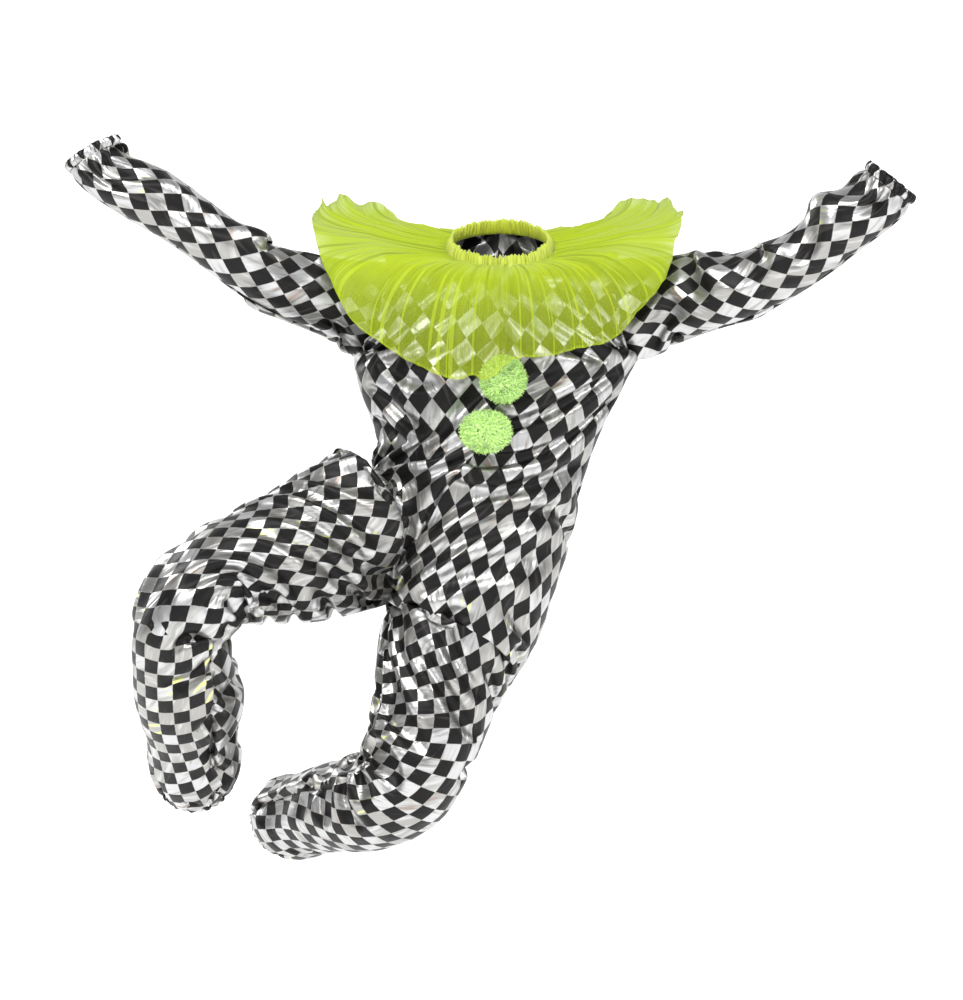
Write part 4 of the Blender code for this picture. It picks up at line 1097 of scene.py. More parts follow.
def refined(name, field):
    """Values at the points that settle, carried over to the fine grid."""
    if name.startswith("sleeve"):
        return through(with_ghosts(field), SLEEVE_STEP)
    tall = through(with_ghosts(field), PANEL_STEP)
    return np.swapaxes(through(with_ghosts(np.swapaxes(tall, 0, 1)), PANEL_STEP), 0, 1)


def welds(points):
    """Points that pieces share at their seams, and the number of each one's place."""
    places, counts = same_place(points)
    shared = np.flatnonzero(counts[places] > 1)
    _, group = np.unique(places[shared], return_inverse=True)
    return shared, group


def weld(points, shared, group):
    """Brings the points that pieces share back together."""
    points[shared] = (sums_by_place(points[shared], group) / np.bincount(group)[:, None])[group]


def held_points(name, shape):
    """Marks the points of a settling sheet that stay put: its neckline and its open edge."""
    held = np.zeros(shape[:2], dtype=bool)
    if name.startswith("sleeve"):
        held[-1] = True
    else:
        held[0] = True
        held[NECK_START:, 0] = True
    return held.reshape(-1)


def freedom(points, sheets):
    """How freely each point settles: from 0 at the neckline to 1 a little way off it."""
    necks = np.concatenate([sheet[NECK_START:, 0] for name, sheet in sheets.items()
                            if not name.startswith("sleeve")])
    nearest = np.full(len(points), np.inf)
    for mark in necks[::NECK_MARK_STEP]:
        nearest = np.minimum(nearest, np.linalg.norm(points - mark, axis=1))
    return smooth_step(*NECK_FADE, nearest)


def keep_near(points, ground, outward, free, hold):
    """Brings points back within reach of the smooth form, and a little to their own places."""
    depth = np.einsum("ij,ij->i", points - ground, outward)
    kept = np.clip(depth, -SETTLE_IN * free, SETTLE_OUT * free)
    sideways = points - ground - outward * depth[:, None]
    points += outward * (kept - depth)[:, None] - sideways * hold


def start_gathers(sheets, smooth, normals):
    """Lays low pleats round the wrists and ankles of the sheets."""
    for name, sheet in sheets.items():
        seeds = gather_seeds(smooth[name], gather_share(name, smooth[name]))
        sheet += normals[name] * seeds[..., None]


def settled(folded, smooth, normals):
    """The sheets of creased cloth once they have found room for the size they were cut to."""
    folded, smooth, normals = ({name: thinned(name, field) for name, field in fields.items()}
                               for fields in (folded, smooth, normals))
    points, ground, outward = stacked(folded), stacked(smooth), stacked(normals)
    sheets = unstacked(points, folded)
    rests = {name: cut_lengths(name, sheet) for name, sheet in smooth.items()}
    held = np.concatenate([held_points(name, sheet.shape) for name, sheet in sheets.items()])
    anchors = points[held].copy()
    shared, group = welds(ground)
    hold = np.full((len(points), 1), SETTLE_HOLD)
    hold[shared] = SEAM_HOLD
    free = freedom(points, folded)
    start_gathers(sheets, smooth, normals)
    previous = points.copy()
    for _ in range(SETTLE_STEPS):
        moved = (points - previous) * SETTLE_DRAG + SETTLE_WEIGHT
        previous[:] = points
        points += moved
        for name, sheet in sheets.items():
            relax(sheet, rests[name], SHEAR_STIFFNESS)
            stiffen(sheet)
        keep_near(points, ground, outward, free, hold)
        points[held] = anchors
        weld(points, shared, group)
    return sheets


# ---------------------------------------------------------------- suit assembly
def suit_grids():
    """Fine grids of the panels and sleeves before their creases, with flips and closures."""
    panels = {f"{half}_{side}": (side, half) for side in SIDES for half in HALVES}
    coarse = {name: body_grid(side, half) for name, (side, half) in panels.items()}
    fine = {name: fine_panel(coarse, side, half) for name, (side, half) in panels.items()}
    flips = {name: (side == "left") == (half == "front") for name, (side, half) in panels.items()}
    for side in SIDES:
        name = f"sleeve_{side}"
        grid = sleeve_grid(side, coarse[f"front_{side}"], coarse[f"back_{side}"])
        fine[name] = fine_sleeve(grid, fine[f"front_{side}"], fine[f"back_{side}"])
        flips[name] = side == "right"
    closed = {name: name.startswith("sleeve") for name in fine}
    return fine, flips, closed


def seam_distance(grid, closed):
    """Distance of each point from the nearest side seam of its piece, along its row."""
    across = running(np.linalg.norm(np.diff(grid, axis=1), axis=2))
    if closed:
        return np.minimum(across, across[:, -1:] + across[:, 1:2] - across)
    return np.minimum(across, across[:, -1:] - across)


def creased(grids, normals, closed):
    """The grids with the listed creases, and their soft unevenness."""
    result = {}
    for name, grid in grids.items():
        distance = seam_distance(grid, closed[name])
        height = fold_height(grid, normals[name]) + soft_height(grid)
        height *= edge_fade(grid)[:, None] if closed[name] else armhole_fade(grid)
        height -= SEAM_DIP * np.exp(-(distance / SEAM_WIDTH) ** 2)
        result[name] = grid + normals[name] * height[..., None]
    return result


def with_settling(grids, sheets, closed):
    """The fine grids, moved as their settling points have moved."""
    result = {}
    for name, grid in grids.items():
        shift = refined(name, sheets[name] - thinned(name, grid))
        result[name] = grid + (shift[:, :-1] if closed[name] else shift)
    return result


def edge_fade(grid):
    """From 0 at a sleeve's armhole to 1 past its head."""
    return smooth_step(0.0, SEAM_FADE, running(row_lengths(grid)))


def armhole_fade(grid):
    """From 0 at a panel's armhole to 1 on the rest of it."""
    edge = grid[UNDERARM_ROW * ROW_CELLS:, -1][::ROW_CELLS // 2]
    flat = grid.reshape(-1, 3)
    near = np.min(np.linalg.norm(flat[:, None] - edge[None], axis=2), axis=1)
    return smooth_step(0.0, SEAM_FADE, near).reshape(grid.shape[:2])


# ---------------------------------------------------------------- meshes
def grid_faces(rows, columns, closed, flip):
    """Quads over a grid's points, numbered row by row."""
    across = columns if closed else columns - 1
    row, column = np.meshgrid(np.arange(rows - 1), np.arange(across), indexing="ij")
    after = (column + 1) % columns
    corners = (row * columns + column, row * columns + after,
               (row + 1) * columns + after, (row + 1) * columns + column)
    quads = np.stack(corners, axis=-1).reshape(-1, 4)
    return quads if flip else quads[:, ::-1]


def add_object(name, data):
    """A new object in the scene."""
    item = bpy.data.objects.new(name, data)
    bpy.context.collection.objects.link(item)
    return item


def make_mesh(name, points, faces, uvs, material):
    """A smooth mesh with one UV map; uvs holds one pair for each corner of each face."""
    mesh = bpy.data.meshes.new(name)
    mesh.from_pydata(points.reshape(-1, 3), [], faces.tolist())
    layer = mesh.uv_layers.new(name="cut")
    layer.data.foreach_set("uv", uvs.reshape(-1))
    mesh.materials.append(material)
    mesh.shade_smooth()
    return add_object(name, mesh)


def grid_piece(name, grid, layout, closed, flip, material):
    """A cloth piece over a grid; the layout has one more column where the grid is closed."""
    rows, columns = grid.shape[:2]
    faces = grid_faces(rows, columns, closed, flip)
    layout_faces = grid_faces(rows, layout.shape[1], False, flip)
    return make_mesh(name, grid, faces, layout.reshape(-1, 2)[layout_faces], material)


def thicken(piece, thickness):
    """Gives a piece the thickness of its cloth, half of it to each side."""
    wall = piece.modifiers.new("wall", "SOLIDIFY")
    wall.thickness = thickness
    wall.offset = 0.0


def place(piece, node):
    """The piece rides on the part and stands for its CAD node, which it hides."""
    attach(piece, "root")
    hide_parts(node)


# ---------------------------------------------------------------- ruff, band, casings and placket
def rounded(values, reach):
    """Values round a ring, each averaged with its neighbours."""
    weights = np.hanning(2 * reach + 3)[1:-1]
    return sum(weight * np.roll(values, step) for step, weight
               in zip(range(-reach, reach + 1), weights)) / weights.sum()


def folded(phase, sharpness):
    """A wave of flat faces between creases; sharpness below 1 rounds the creases off."""
    return np.arcsin(sharpness * np.sin(phase)) / math.asin(sharpness)


def unit_ring(count):
    """Evenly spaced angles, and their points on a unit circle, where unevenness is read."""
    angles = np.linspace(0.0, FULL_TURN, count, endpoint=False)
    return angles, np.stack((np.cos(angles), np.sin(angles), np.zeros_like(angles)), axis=1)


def neck_ring(count):
    """The same, with the ways outward from the neck and the points of the neckline."""
    angles, ring = unit_ring(count)
    outward = np.stack((np.sin(angles), -np.cos(angles), np.zeros_like(angles)), axis=1)
    return angles, ring, outward, np.array([neckline(angle) for angle in angles])


def uneven(ring, part, middle, *layers):
    """Unevenness round a ring, a part of the way out from it."""
    return middle + sum(layer.height * noise(ring * layer.cells + UP * (part * layer.rise), layer.seed)
                        for layer in layers)


def ruff_hem(angles):
    """How far the hem reaches out, and how far it drops, round the neck."""
    heading, *measures = np.array(RUFF_HEM).T
    degrees = np.degrees((angles + math.pi) % FULL_TURN - math.pi)
    return [rounded(np.interp(degrees, heading, measure), RUFF_SOFTNESS) for measure in measures]


def ruff_relief(angles, ring, part):
    """How far waves and pleats lift the ruff and lean sideways, a part of the way out."""
    opened = smooth_step(*RUFF_OPENING, part)
    sway = uneven(ring, 0.0, *RUFF_SWAY)
    wave_phase = RUFF_WAVES * angles + sway * RUFF_SWAYS[0] + part * uneven(ring, part, *RUFF_WAVE_DRIFT)
    pleat_phase = RUFF_PLEATS * angles + sway * RUFF_SWAYS[1] + uneven(ring, part, *RUFF_PLEAT_DRIFT)
    front = smooth_step(*RUFF_FRONT, np.cos(angles))
    wave = RUFF_WAVE_HEIGHT * folded(wave_phase, RUFF_WAVE_CREASE) * uneven(ring, 0.0, *RUFF_WAVE_SIZE)
    wave *= 1.0 - (1.0 - RUFF_FRONT_WAVE) * front
    wave *= between(RUFF_WAVE_CLOSED, 1.0, opened) * between(RUFF_WAVE_INNER, 1.0, part)
    pleat = RUFF_PLEAT_HEIGHT * folded(pleat_phase, RUFF_PLEAT_CREASE) * uneven(ring, 0.0, *RUFF_PLEAT_SIZE)
    pleat *= between(1.0, RUFF_PLEAT_OPEN, opened) * smooth_step(0.0, RUFF_PLEAT_START, part)
    stand = RUFF_STAND * min(1.0, part / RUFF_STAND_PART)
    return wave + pleat + stand, RUFF_WAVE_LEAN * RUFF_WAVE_HEIGHT * np.cos(wave_phase) * part


def ruff_grid():
    """The ruff from its neck seam to its hem, with gathers that open into soft waves."""
    angles, ring, outward, start = neck_ring(RUFF_COLUMNS)
    reach, drop = ruff_hem(angles)
    normal = unit_rows(outward * np.maximum(drop, 0.0)[:, None] + UP * reach[:, None])
    ragged = uneven(ring, 0.0, *RUFF_REACH)
    rows = []
    for part in np.linspace(0.0, 1.0, RUFF_ROWS + 1):
        quarter = part * math.pi / 2
        rise, side = ruff_relief(angles, ring, part)
        rows.append(start + outward * (RUFF_START_OUT + reach * math.sin(quarter) * ragged)[:, None]
                    + UP * (RUFF_START_UP - drop * (1.0 - math.cos(quarter)) * ragged)[:, None]
                    + normal * rise[:, None] + ring * side[:, None])
    return np.array(rows)


def make_strip(node, slot, grid, strip, material, closed=True, flip=True, wall=0.0, **cut):
    """A piece that is cut as a straight strip, and gathered into a ring where it is closed."""
    columns = grid.shape[1] + 1 if closed else grid.shape[1]
    across, up = np.meshgrid(np.linspace(0.0, strip[0], columns), np.linspace(0.0, strip[1], len(grid)))
    layout = np.stack((across, up), axis=-1)
    piece = grid_piece(f"{node}_cloth", grid, layout, closed, flip, material)
    if wall:
        thicken(piece, wall)
    place(piece, node)


def make_ruff(material):
    """The organza ruff, gathered on the neck seam."""
    make_strip("ruff", "ruff_organza", ruff_grid(), RUFF_STRIP, material,
               flat=RUFF_STRIP, held="gathered", rests_on=["neckband"])


def band_grid():
    """The ruched band: a flat tube of cloth over elastic, standing on the neckline."""
    angles, ring, outward, start = neck_ring(BAND_COLUMNS)
    lean = UP - BAND_LEAN * outward
    phase = BAND_RUCHES * angles + uneven(ring, 0.0, *BAND_SWAY)
    size, ragged = (uneven(ring, 0.0, *layers) for layers in (BAND_RUCHE_SIZE, BAND_RAGGED))
    rows = []
    for turn in np.linspace(0.0, FULL_TURN, BAND_PROFILE, endpoint=False):
        up = 0.5 - 0.5 * math.cos(turn)
        ruche = np.sin(phase + uneven(ring, up, *BAND_RUCHE_DRIFT)) * size
        ruche = (ruche + uneven(ring, up, *BAND_PUCKER)) * BAND_RUCHE_HEIGHT
        rows.append(start + lean * (BAND_START + BAND_HEIGHT * up)
                    + outward * (math.sin(turn) * (BAND_THICKNESS / 2 + ruche))[:, None]
                    + UP * ((BAND_RUCHE_RISE * ruche + BAND_TOP_WAVE * ragged) * up)[:, None])
    return np.array(rows + rows[:1])


def make_neckband(material):
    """The ruched band round the neck."""
    make_strip("neckband", "neon_ruching", band_grid(), BAND_STRIP, material,
               flat=BAND_STRIP, held="gathered", rests_on=["front_left_cloth"])


def resample_loop(loop, count):
    """A closed loop with evenly spaced points."""
    closed = np.concatenate((loop, loop[:1]))
    places = running(step_lengths(closed))
    return on_line(closed, places, np.linspace(0.0, places[-1], count, endpoint=False))


def casing_grid(ring, onward):
    """The rings of a gathered casing, carried on from the edge of a leg or sleeve."""
    radial = unit_rows(ring - ring.mean(axis=0))
    angles, circle = unit_ring(CASING_COLUMNS)
    phase = CASING_GATHERS * angles + uneven(circle, 0.0, *CASING_SWAY)
    wander = uneven(circle, 0.0, *CASING_WANDER)
    rows = []
    for part in np.linspace(0.0, 1.0, CASING_ROWS + 1):
        ripple = CASING_RIPPLE * np.sin(phase + uneven(circle, part, *CASING_DRIFT))
        out = CASING_SWELL * math.sin(math.pi * part) + ripple
        on = CASING_START + CASING_WIDTH * part + wander * part
        rows.append(ring + radial * out[:, None] + onward * on[:, None])
    return np.array(rows)


def make_casing(name, edge, before, flip, material):
    """A gathered elastic casing on the edge of a leg or sleeve."""
    ring = resample_loop(edge, CASING_COLUMNS)
    girth = step_lengths(np.concatenate((ring, ring[:1]))).sum()
    strip = (girth * GATHERED_WIDTH, CASING_WIDTH)
    grid = casing_grid(ring, unit(np.mean(edge - before, axis=0)))
    make_strip(name, "harlequin_knit", grid, strip, material, flip=flip, wall=CASING_WALL,
               flat=strip, held="gathered")


def placket_half(grid, normals, row):
    """Half a row of the placket, from the centre back outwards, lifted off the panel."""
    line = grid[row, :PLACKET_REACH]
    raised = line + normals[row, :PLACKET_REACH] * PLACKET_LIFT
    wanted = np.linspace(0.0, PLACKET_WIDTH / 2, PLACKET_COLUMNS // 2 + 1)
    return on_line(raised, running(step_lengths(line)), wanted)


def placket_grid(grids, flips):
    """The lapped strip down the centre back, over the edges of both back panels."""
    names = [f"back_{side}" for side in SIDES]
    normals = [point_normals(grids[name], flips[name], False) for name in names]
    first, last = (row * ROW_CELLS for row in PLACKET_ROWS)
    rows = []
    for row in range(first, last + 1, PLACKET_ROW_STEP):
        left, right = (placket_half(grids[name], outs, row) for name, outs in zip(names, normals))
        middle = (left[:1] + right[:1]) / 2
        rows.append(np.concatenate((left[:0:-1], middle, right[1:])))
    return np.array(rows)


def make_placket(grids, flips, material):
    """The strip that laps over the centre back's opening."""
    grid = placket_grid(grids, flips)
    length = step_lengths(grid[:, PLACKET_COLUMNS // 2]).sum()
    make_strip("back_placket", "harlequin_knit", grid, (PLACKET_WIDTH, length), material,
               closed=False, wall=PLACKET_WALL, flat=(PLACKET_WIDTH, round(length, 3)),
               held="laid", rests_on=["back_left", "back_right"])


# ---------------------------------------------------------------- pompoms
def strand_ways(chance):
    """Even directions all round a ball, each a little astray."""
    index = np.arange(YARN_COUNT) + 0.5
    height = 1.0 - 2.0 * index / YARN_COUNT
    turn = math.pi * (1.0 + math.sqrt(5.0)) * index
    flat = np.sqrt(1.0 - height ** 2)
    heading = np.stack((flat * np.cos(turn), flat * np.sin(turn), height), axis=1)
    return unit_rows(heading + chance.normal(0.0, YARN_SCATTER, heading.shape))


def strand_points(chance, half, parts):
    """Points round every strand of a ball of the given half sizes, at parts of its length."""
    heading = strand_ways(chance)
    lean = YARN_CLUMP * noise_vector(heading * YARN_CLUMP_CELLS, YARN_CLUMP_SEEDS)
    clump = unit_rows(heading + lean + chance.normal(0.0, YARN_STRAY, heading.shape))
    length = (YARN_LENGTH + YARN_LENGTH_WAVE * noise(heading * YARN_LENGTH_CELLS, YARN_LENGTH_SEED)
              + chance.uniform(*YARN_LENGTH_SPREAD, YARN_COUNT))
    side = unit_rows(np.cross(heading, unit_rows(chance.normal(size=heading.shape))))
    other = np.cross(heading, side)
    points = []
    for part in parts:
        way = unit_rows(heading * (1.0 - part ** 2) + clump * part ** 2)
        spine = way * (YARN_ROOT + (length - YARN_ROOT) * part)[:, None] * half
        width = YARN_WIDTH * (1.0 - YARN_TAPER * part ** 3)
        for angle in np.linspace(0.0, FULL_TURN, YARN_CORNERS, endpoint=False):
            points.append(spine + width * (math.cos(angle) * side + math.sin(angle) * other))
    return np.stack(points, axis=1)


def strand_faces(strand_size):
    """Quads round every strand; each strand has this many points, ring by ring."""
    faces = []
    for low in range(0, YARN_SEGMENTS * YARN_CORNERS, YARN_CORNERS):
        high = low + YARN_CORNERS
        for corner in range(YARN_CORNERS):
            after = (corner + 1) % YARN_CORNERS
            faces.append((low + corner, low + after, high + after, high + corner))
    firsts = np.arange(YARN_COUNT) * strand_size
    return (np.array(faces)[None] + firsts[:, None, None]).reshape(-1, 4)


def make_pompom(spec, seam, number, material):
    """A ball of yarn: thousands of thin strands from a small heart, a little uneven."""
    front = seam[seam[:, 1] < FRONT_LIMIT]
    near = front[np.argmin(np.abs(front[:, 2] - spec.z))]
    half = np.array((spec.half_width, spec.half_depth, spec.half_height))
    centre = np.array((near[0], near[1] - spec.half_depth - CLOTH, spec.z))
    chance = np.random.default_rng(YARN_SEED + number)
    parts = np.linspace(0.0, 1.0, YARN_SEGMENTS + 1)
    points = centre + strand_points(chance, half, parts)
    strand_size = points.shape[1]
    shade = np.tile(np.repeat(parts, YARN_CORNERS), YARN_COUNT)
    strand = np.repeat(chance.uniform(0.0, 1.0, YARN_COUNT), strand_size)
    quads = strand_faces(strand_size)
    uvs = np.stack((strand, shade), axis=1)[quads]
    place(make_mesh(f"{spec.name}_yarn", points, quads, uvs, material), spec.name)


# ---------------------------------------------------------------- materials
class Nodes:
    """A short way to wire a material's nodes."""

    def __init__(self, name):
        self.material = bpy.data.materials.new(name)
        self.material.use_nodes = True
        self.tree = self.material.node_tree
        self.shader = self.tree.nodes["Principled BSDF"]

    def add(self, kind, **settings):
        node = self.tree.nodes.new(kind)
        for name, value in settings.items():
            setattr(node, name, value)
        return node

    def feed(self, socket, value):
        if isinstance(value, bpy.types.NodeSocket):
            self.tree.links.new(value, socket)
        else:
            socket.default_value = value

    def feed_all(self, node, values):
        """Feeds a node's inputs, by their names."""
        for name, value in values.items():
            self.feed(node.inputs[name], value)

    def math(self, operation, first, second=0.0):
        node = self.add("ShaderNodeMath", operation=operation)
        self.feed(node.inputs[0], first)
        self.feed(node.inputs[1], second)
        return node.outputs[0]

    def times(self, first, second):
        return self.math("MULTIPLY", first, second)

    def plus(self, first, second):
        return self.math("ADD", first, second)

    def minus(self, first, second):
        return self.math("SUBTRACT", first, second)

    def ramp(self, value, low, high, out_low=0.0, out_high=1.0):
        """A smooth rise or fall between two values."""
        node = self.add("ShaderNodeMapRange", interpolation_type="SMOOTHSTEP")
        for socket, item in zip(node.inputs, (value, low, high, out_low, out_high)):
            self.feed(socket, item)
        return node.outputs["Result"]

    def blend(self, value, spec):
        """How much of something shows at a value."""
        return self.times(self.ramp(value, spec.start, spec.full), spec.share)

    def mix(self, part, first, second):
        node = self.add("ShaderNodeMix", data_type="RGBA")
        colours = [socket for socket in node.inputs if socket.type == "RGBA"]
        self.feed(node.inputs["Factor"], part)
        self.feed(colours[0], first)
        self.feed(colours[1], second)
        return next(socket for socket in node.outputs if socket.type == "RGBA")

    def noise(self, vector, scale, detail=1.0, roughness=0.5):
        node = self.add("ShaderNodeTexNoise")
        self.feed_all(node, {"Vector": vector, "Scale": scale, "Detail": detail, "Roughness": roughness})
        return node.outputs["Fac"]

    def streaks(self, vector, spec):
        """Noise drawn out along the cloth."""
        return self.noise(self.mapped(vector, spec.along), spec.cells, spec.detail, spec.roughness)

    def layout(self):
        """The piece's place on its flat cloth, in metres."""
        return self.add("ShaderNodeUVMap", uv_map="cut").outputs["UV"]

    def split(self, vector):
        """A vector's parts across and along the cloth."""
        node = self.add("ShaderNodeSeparateXYZ")
        self.feed(node.inputs[0], vector)
        return node.outputs["X"], node.outputs["Y"]

    def mapped(self, vector, along=1.0, location=(0.0, 0.0, 0.0)):
        """A vector moved, and scaled along the cloth."""
        node = self.add("ShaderNodeMapping")
        self.feed_all(node, {"Vector": vector, "Scale": (1.0, along, 1.0), "Location": location})
        return node.outputs["Vector"]

    def relief(self, height, spec, under=None):
        """A normal that shows a height, over another normal if there is one."""
        node = self.add("ShaderNodeBump")
        self.feed_all(node, {"Height": height, "Distance": spec.depth, "Strength": spec.strength})
        if under is not None:
            self.feed(node.inputs["Normal"], under)
        return node.outputs["Normal"]


def check_cells(nodes, cloth):
    """The printed check: 1 on foil and 0 on black, the distance from a diamond's edge, and
    the diamond's number."""
    across, along = nodes.split(cloth)
    across = nodes.math("DIVIDE", across, CHECK_WIDTH)
    along = nodes.math("DIVIDE", along, CHECK_LENGTH)
    cells, edges = [], []
    for operation in ("ADD", "SUBTRACT"):
        spot = nodes.math(operation, across, along)
        cells.append(nodes.math("FLOOR", spot))
        inside = nodes.math("FRACT", spot)
        edges.append(nodes.math("MINIMUM", inside, nodes.minus(1.0, inside)))
    parity = nodes.math("FLOORED_MODULO", nodes.plus(*cells), 2.0)
    number = nodes.add("ShaderNodeCombineXYZ")
    nodes.feed_all(number, dict(zip("XY", cells)))
    return nodes.math("GREATER_THAN", parity, 0.5), nodes.math("MINIMUM", *edges), number.outputs[0]


def foil_streaks(nodes, cloth, number):
    """Straight creases in the foil, fine and broad; they turn from diamond to diamond."""
    heading = nodes.ramp(nodes.noise(number, TURN_CELLS), *STREAK_RANGE, -STREAK_TURN, STREAK_TURN)
    twist = nodes.add("ShaderNodeVectorRotate", rotation_type="Z_AXIS")
    nodes.feed_all(twist, {"Vector": cloth, "Angle": heading})
    return [nodes.streaks(twist.outputs["Vector"], spec) for spec in (FINE_STREAKS, BROAD_STREAKS)]


def weighed(nodes, fine, broad, share):
    """Fine and broad streaks together, with the share of the fine ones."""
    return nodes.plus(nodes.times(fine, share), nodes.times(broad, 1.0 - share))


def foil_colour(nodes, cloth, number, fine, broad):
    """Silver with painted shade, from bright to shaded along its creases and darker in their troughs, a
    painted shade for each diamond, and painted reflections of coloured things in a few of the streaks.
    """
    pick = nodes.add("ShaderNodeTexWhiteNoise", noise_dimensions="2D")
    nodes.feed(pick.inputs["Vector"], number)
    # each diamond's painted shade, as if its facet reflected the light a little differently
    diamond_painted_shade = nodes.ramp(pick.outputs["Value"], 0.0, 1.0, *DIAMOND_PAINTED_SHADE)
    crinkle = weighed(nodes, fine, broad, FINE_SHARE_PAINTED_SHADE)
    # painted shade along the crinkles' streaks
    silver = nodes.mix(nodes.ramp(nodes.plus(crinkle, diamond_painted_shade), *PAINTED_SHADE_RANGE), FOIL_PAINTED_SHADE, FOIL)
    # painted shade in the troughs of the fine crinkles, where their relief is lowest
    silver = nodes.mix(nodes.blend(fine, PAINTED_CREASE_SHADE), silver, FOIL_PAINTED_CREASE_SHADE)
    patch = nodes.noise(cloth, PATCH_CELLS, 2.0)
    # painted reflections of coloured things nearby, in a few streaks and patches
    for painted_reflection in FOIL_PAINTED_REFLECTIONS:
        area = nodes.times(nodes.ramp(broad, *painted_reflection.streaks), nodes.ramp(patch, *painted_reflection.patches))
        silver = nodes.mix(nodes.times(area, painted_reflection.share), silver, painted_reflection.colour)
    return silver


def cloth_relief(nodes, cloth, foil, fine, broad):
    """The knit's loops, and over them the foil's crinkles, which are weaker on black."""
    depth = nodes.plus(nodes.times(foil, CRINKLE_ON_FOIL), CRINKLE_ON_BLACK)
    crinkle = nodes.times(weighed(nodes, fine, broad, FINE_SHARE_RELIEF), depth)
    return nodes.relief(crinkle, CRINKLE, nodes.relief(nodes.streaks(cloth, KNIT_LOOPS), KNIT))


def harlequin_material(name, start):
    """Stretch knit with a diamond check of black and crinkled silver foil, with painted sheen on the black
    and painted shade and reflections on the foil.
    """
    nodes = Nodes(name)
    cloth = nodes.mapped(nodes.layout(), location=(*start, 0.0))
    foil, edge, number = check_cells(nodes, cloth)
    fine, broad = foil_streaks(nodes, cloth, number)
    silver = foil_colour(nodes, cloth, number, fine, broad)
    # the black with its painted sheen, and the foil's silver
    colour = nodes.mix(foil, nodes.mix(nodes.blend(broad, PAINTED_SHEEN), BLACK, BLACK_PAINTED_SHEEN), silver)
    roughness = nodes.ramp(fine, *STREAK_RANGE, *CLOTH_ROUGHNESS)
    nodes.feed_all(nodes.shader, {
        "Base Color": nodes.mix(nodes.blend(edge, EDGES), colour, FOIL_EDGE),
        "Metallic": nodes.times(foil, FOIL_METAL),
        "Roughness": nodes.plus(nodes.times(foil, FOIL_GLOSS), roughness),
        "Specular IOR Level": CLOTH_SPECULAR,
        "Normal": cloth_relief(nodes, cloth, foil, fine, broad),
    })
    return nodes.material


def organza_cover(nodes, layout, sides, creases):
    """How much the ruff hides: more at its hem, sides and gathers, and where it turns away."""
    facing = nodes.add("ShaderNodeLayerWeight")
    facing.inputs["Blend"].default_value = FACING_BLEND
    down = nodes.math("DIVIDE", nodes.split(layout)[1], RUFF_STRIP[1])
    threads = nodes.minus(nodes.streaks(layout, ORGANZA_THREADS), 0.5)
    added = (
        nodes.times(facing.outputs["Facing"], COVER_TURNED_AWAY),
        nodes.times(sides, COVER_SIDES.share),
        nodes.blend(down, COVER_HEM),
        nodes.blend(down, COVER_GATHERS),
        nodes.blend(nodes.streaks(layout, ORGANZA_FOLDS), COVER_FOLDED),
        nodes.times(threads, COVER_THREADS),
        nodes.times(creases, COVER_CREASES.share),
    )
    cover = COVER_CLOTH
    for value in added:
        cover = nodes.plus(cover, value)
    return nodes.math("MINIMUM", cover, COVER_MOST)


def organza_features(nodes, layout):
    """Where the ruff's sides lie, and the lines of its creases."""
    across, _ = nodes.split(layout)
    from_front = nodes.math("MINIMUM", across, nodes.minus(RUFF_STRIP[0], across))
    crossing = nodes.math("ABSOLUTE", nodes.minus(nodes.streaks(layout, ORGANZA_CREASES), 0.5))
    return (nodes.ramp(from_front, COVER_SIDES.start, COVER_SIDES.full),
            nodes.ramp(crossing, COVER_CREASES.start, COVER_CREASES.full))


def organza_material():
    """Thin, crisp and see-through, with the creases and gathers of the ruff."""
    nodes = Nodes("ruff_organza")
    layout = nodes.layout()
    sides, creases = organza_features(nodes, layout)
    tone = nodes.mix(nodes.streaks(layout, ORGANZA_TONES), ORGANZA_DEEP, ORGANZA)
    # painted shade: the colour deepens towards the ruff's sides
    tone = nodes.mix(nodes.times(sides, SIDES_PAINTED_SHADE), tone, ORGANZA_DEEP)
    nodes.feed_all(nodes.shader, {
        "Alpha": organza_cover(nodes, layout, sides, creases),
        "Base Color": nodes.mix(nodes.times(creases, CREASES_DEEPER), tone, ORGANZA_LINE),
        "Normal": nodes.relief(nodes.streaks(layout, WEAVE_CELLS), WEAVE),
        **ORGANZA_FINISH,
    })
    return nodes.material


def neon_material():
    """Bright ruched cloth of the neckband."""
    nodes = Nodes("neon_ruching")
    layout = nodes.layout()
    nodes.feed_all(nodes.shader, {
        "Base Color": nodes.mix(nodes.streaks(layout, NEON_TONES), NEON_DEEP, NEON_BRIGHT),
        "Normal": nodes.relief(nodes.streaks(layout, NEON_LOOPS), NEON_KNIT),
        **NEON_FINISH,
    })
    return nodes.material


def yarn_material():
    """Light green yarn, deeper with painted shade towards the roots and bright at the tips, some strands
    paler, with a painted glow of its own colour.
    """
    nodes = Nodes("pompom_yarn")
    strand, part = nodes.split(nodes.layout())
    # painted shade towards the roots of each strand
    body = nodes.mix(nodes.ramp(part, YARN_FULL_SHADE_END, 1.0), YARN_ROOT_PAINTED_SHADE, YARN_BRIGHT)
    colour = nodes.mix(nodes.times(strand, YARN_PALE_SHARE), body, YARN_PALE)
    # painted glow: the yarn's colour is also given off as light
    nodes.feed_all(nodes.shader, {"Base Color": colour, "Emission Color": colour, **YARN_FINISH_AND_PAINTED_GLOW})
    return nodes.material


# ---------------------------------------------------------------- camera, floor and light
def make_camera():
    """The photo's own view of the suit."""
    camera = add_object("camera", bpy.data.cameras.new("camera"))
    camera.data.lens = CAMERA_LENS
    camera.data.sensor_width = SENSOR
    camera.data.clip_end = CAMERA_FAR
    camera.location = CAMERA_PLACE
    camera.rotation_euler = (math.pi / 2, 0.0, 0.0)
    bpy.context.scene.camera = camera


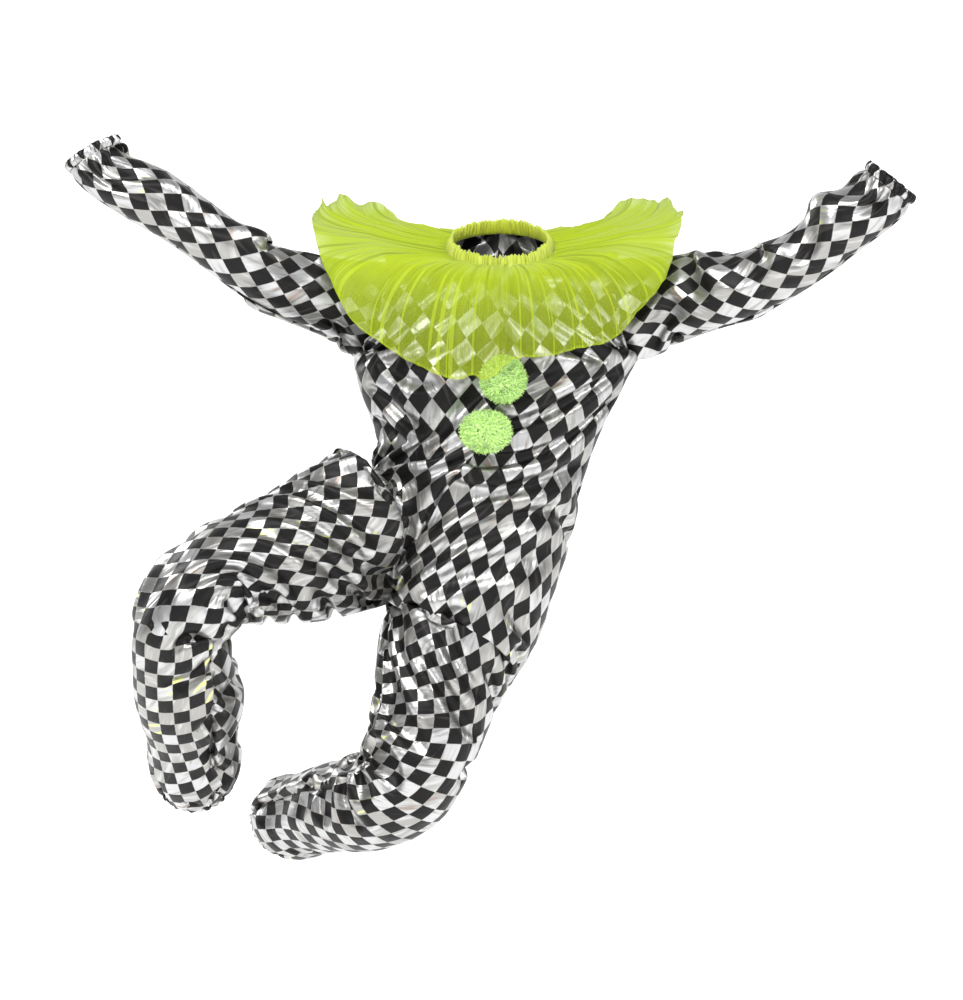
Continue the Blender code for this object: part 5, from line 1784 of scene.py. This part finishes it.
def sweep_profile():
    """The line from the floor's near edge back and up to the backdrop's top, as (y, z)."""
    profile = [(FLOOR_NEAR, FLOOR_Z), (SWEEP_START, FLOOR_Z)]
    for step in range(1, SWEEP_STEPS + 1):
        angle = step / SWEEP_STEPS * math.pi / 2
        profile.append((SWEEP_START + SWEEP_RADIUS * math.sin(angle),
                        FLOOR_Z + SWEEP_RADIUS * (1.0 - math.cos(angle))))
    return profile + [(SWEEP_START + SWEEP_RADIUS, BACKDROP_TOP)]


def make_stage():
    """A pale floor that sweeps up into a backdrop far behind."""
    profile = sweep_profile()
    points = [(x, y, z) for y, z in profile for x in (-FLOOR_HALF_WIDTH, FLOOR_HALF_WIDTH)]
    faces = [(2 * row, 2 * row + 1, 2 * row + 3, 2 * row + 2) for row in range(len(profile) - 1)]
    mesh = bpy.data.meshes.new("floor")
    mesh.from_pydata(points, [], faces)
    mesh.shade_smooth()
    nodes = Nodes("floor")
    nodes.feed_all(nodes.shader, FLOOR_FINISH)
    mesh.materials.append(nodes.material)
    add_object("floor", mesh)


def make_lamp(lamp):
    """One lamp of the studio."""
    light = bpy.data.lights.new(lamp.name, "AREA")
    light.shape = "RECTANGLE"
    light.size, light.size_y = lamp.width, lamp.height
    light.energy = lamp.power
    item = add_object(lamp.name, light)
    item.location = (lamp.x, lamp.y, lamp.z)
    item.rotation_euler = (LAMP_TARGET - item.location).to_track_quat("-Z", "Y").to_euler()


def make_world():
    """The even light from all around."""
    world = bpy.data.worlds.new("studio")
    world.use_nodes = True
    background = world.node_tree.nodes["Background"]
    background.inputs["Color"].default_value = SKY_COLOUR
    background.inputs["Strength"].default_value = SKY_STRENGTH
    bpy.context.scene.world = world
    bpy.context.scene.view_settings.view_transform = "Standard"


# ---------------------------------------------------------------- the whole suit
def finished_cloth():
    """The panels' and sleeves' settled grids, with their layouts, flips and closures."""
    grids, flips, closed = suit_grids()
    normals = shared_normals(grids, flips, closed)
    folded = creased(grids, normals, closed)
    sheets = settled(folded, grids, normals)
    layouts = {name: cut_layout(name, sheet) for name, sheet in sheets.items()}
    return with_settling(folded, sheets, closed), layouts, flips, closed


def make_casings(grids, materials):
    """The elastic casings of both wrists and both ankles."""
    for side in SIDES:
        flip = side == "right"
        sleeve = grids[f"sleeve_{side}"]
        make_casing(f"wrist_casing_{side}", sleeve[-1], sleeve[-3], flip, materials[f"sleeve_{side}"])
        front, back = grids[f"front_{side}"], grids[f"back_{side}"]
        edge, before = (np.concatenate((front[row], back[row, -2:0:-1])) for row in (0, 3))
        make_casing(f"ankle_casing_{side}", edge, before, flip, materials[f"front_{side}"])


def make_suit():
    """The panels and sleeves, their casings and the placket."""
    grids, layouts, flips, closed = finished_cloth()
    materials = {name: harlequin_material(f"harlequin_{name}", start)
                 for name, start in PRINT_START.items()}
    for name, grid in grids.items():
        piece = grid_piece(f"{name}_cloth", grid, layouts[name], closed[name], flips[name], materials[name])
        place(piece, name)
    make_casings(grids, materials)
    make_placket(grids, flips, materials["back_placket"])
    return grids


suit = make_suit()
make_neckband(neon_material())
make_ruff(organza_material())
yarn = yarn_material()
for pompom_number, pompom_spec in enumerate(POMPOMS):
    make_pompom(pompom_spec, suit["front_left"][:, 0], pompom_number, yarn)

make_camera()
make_stage()
for studio_lamp in LAMPS:
    make_lamp(studio_lamp)
make_world()
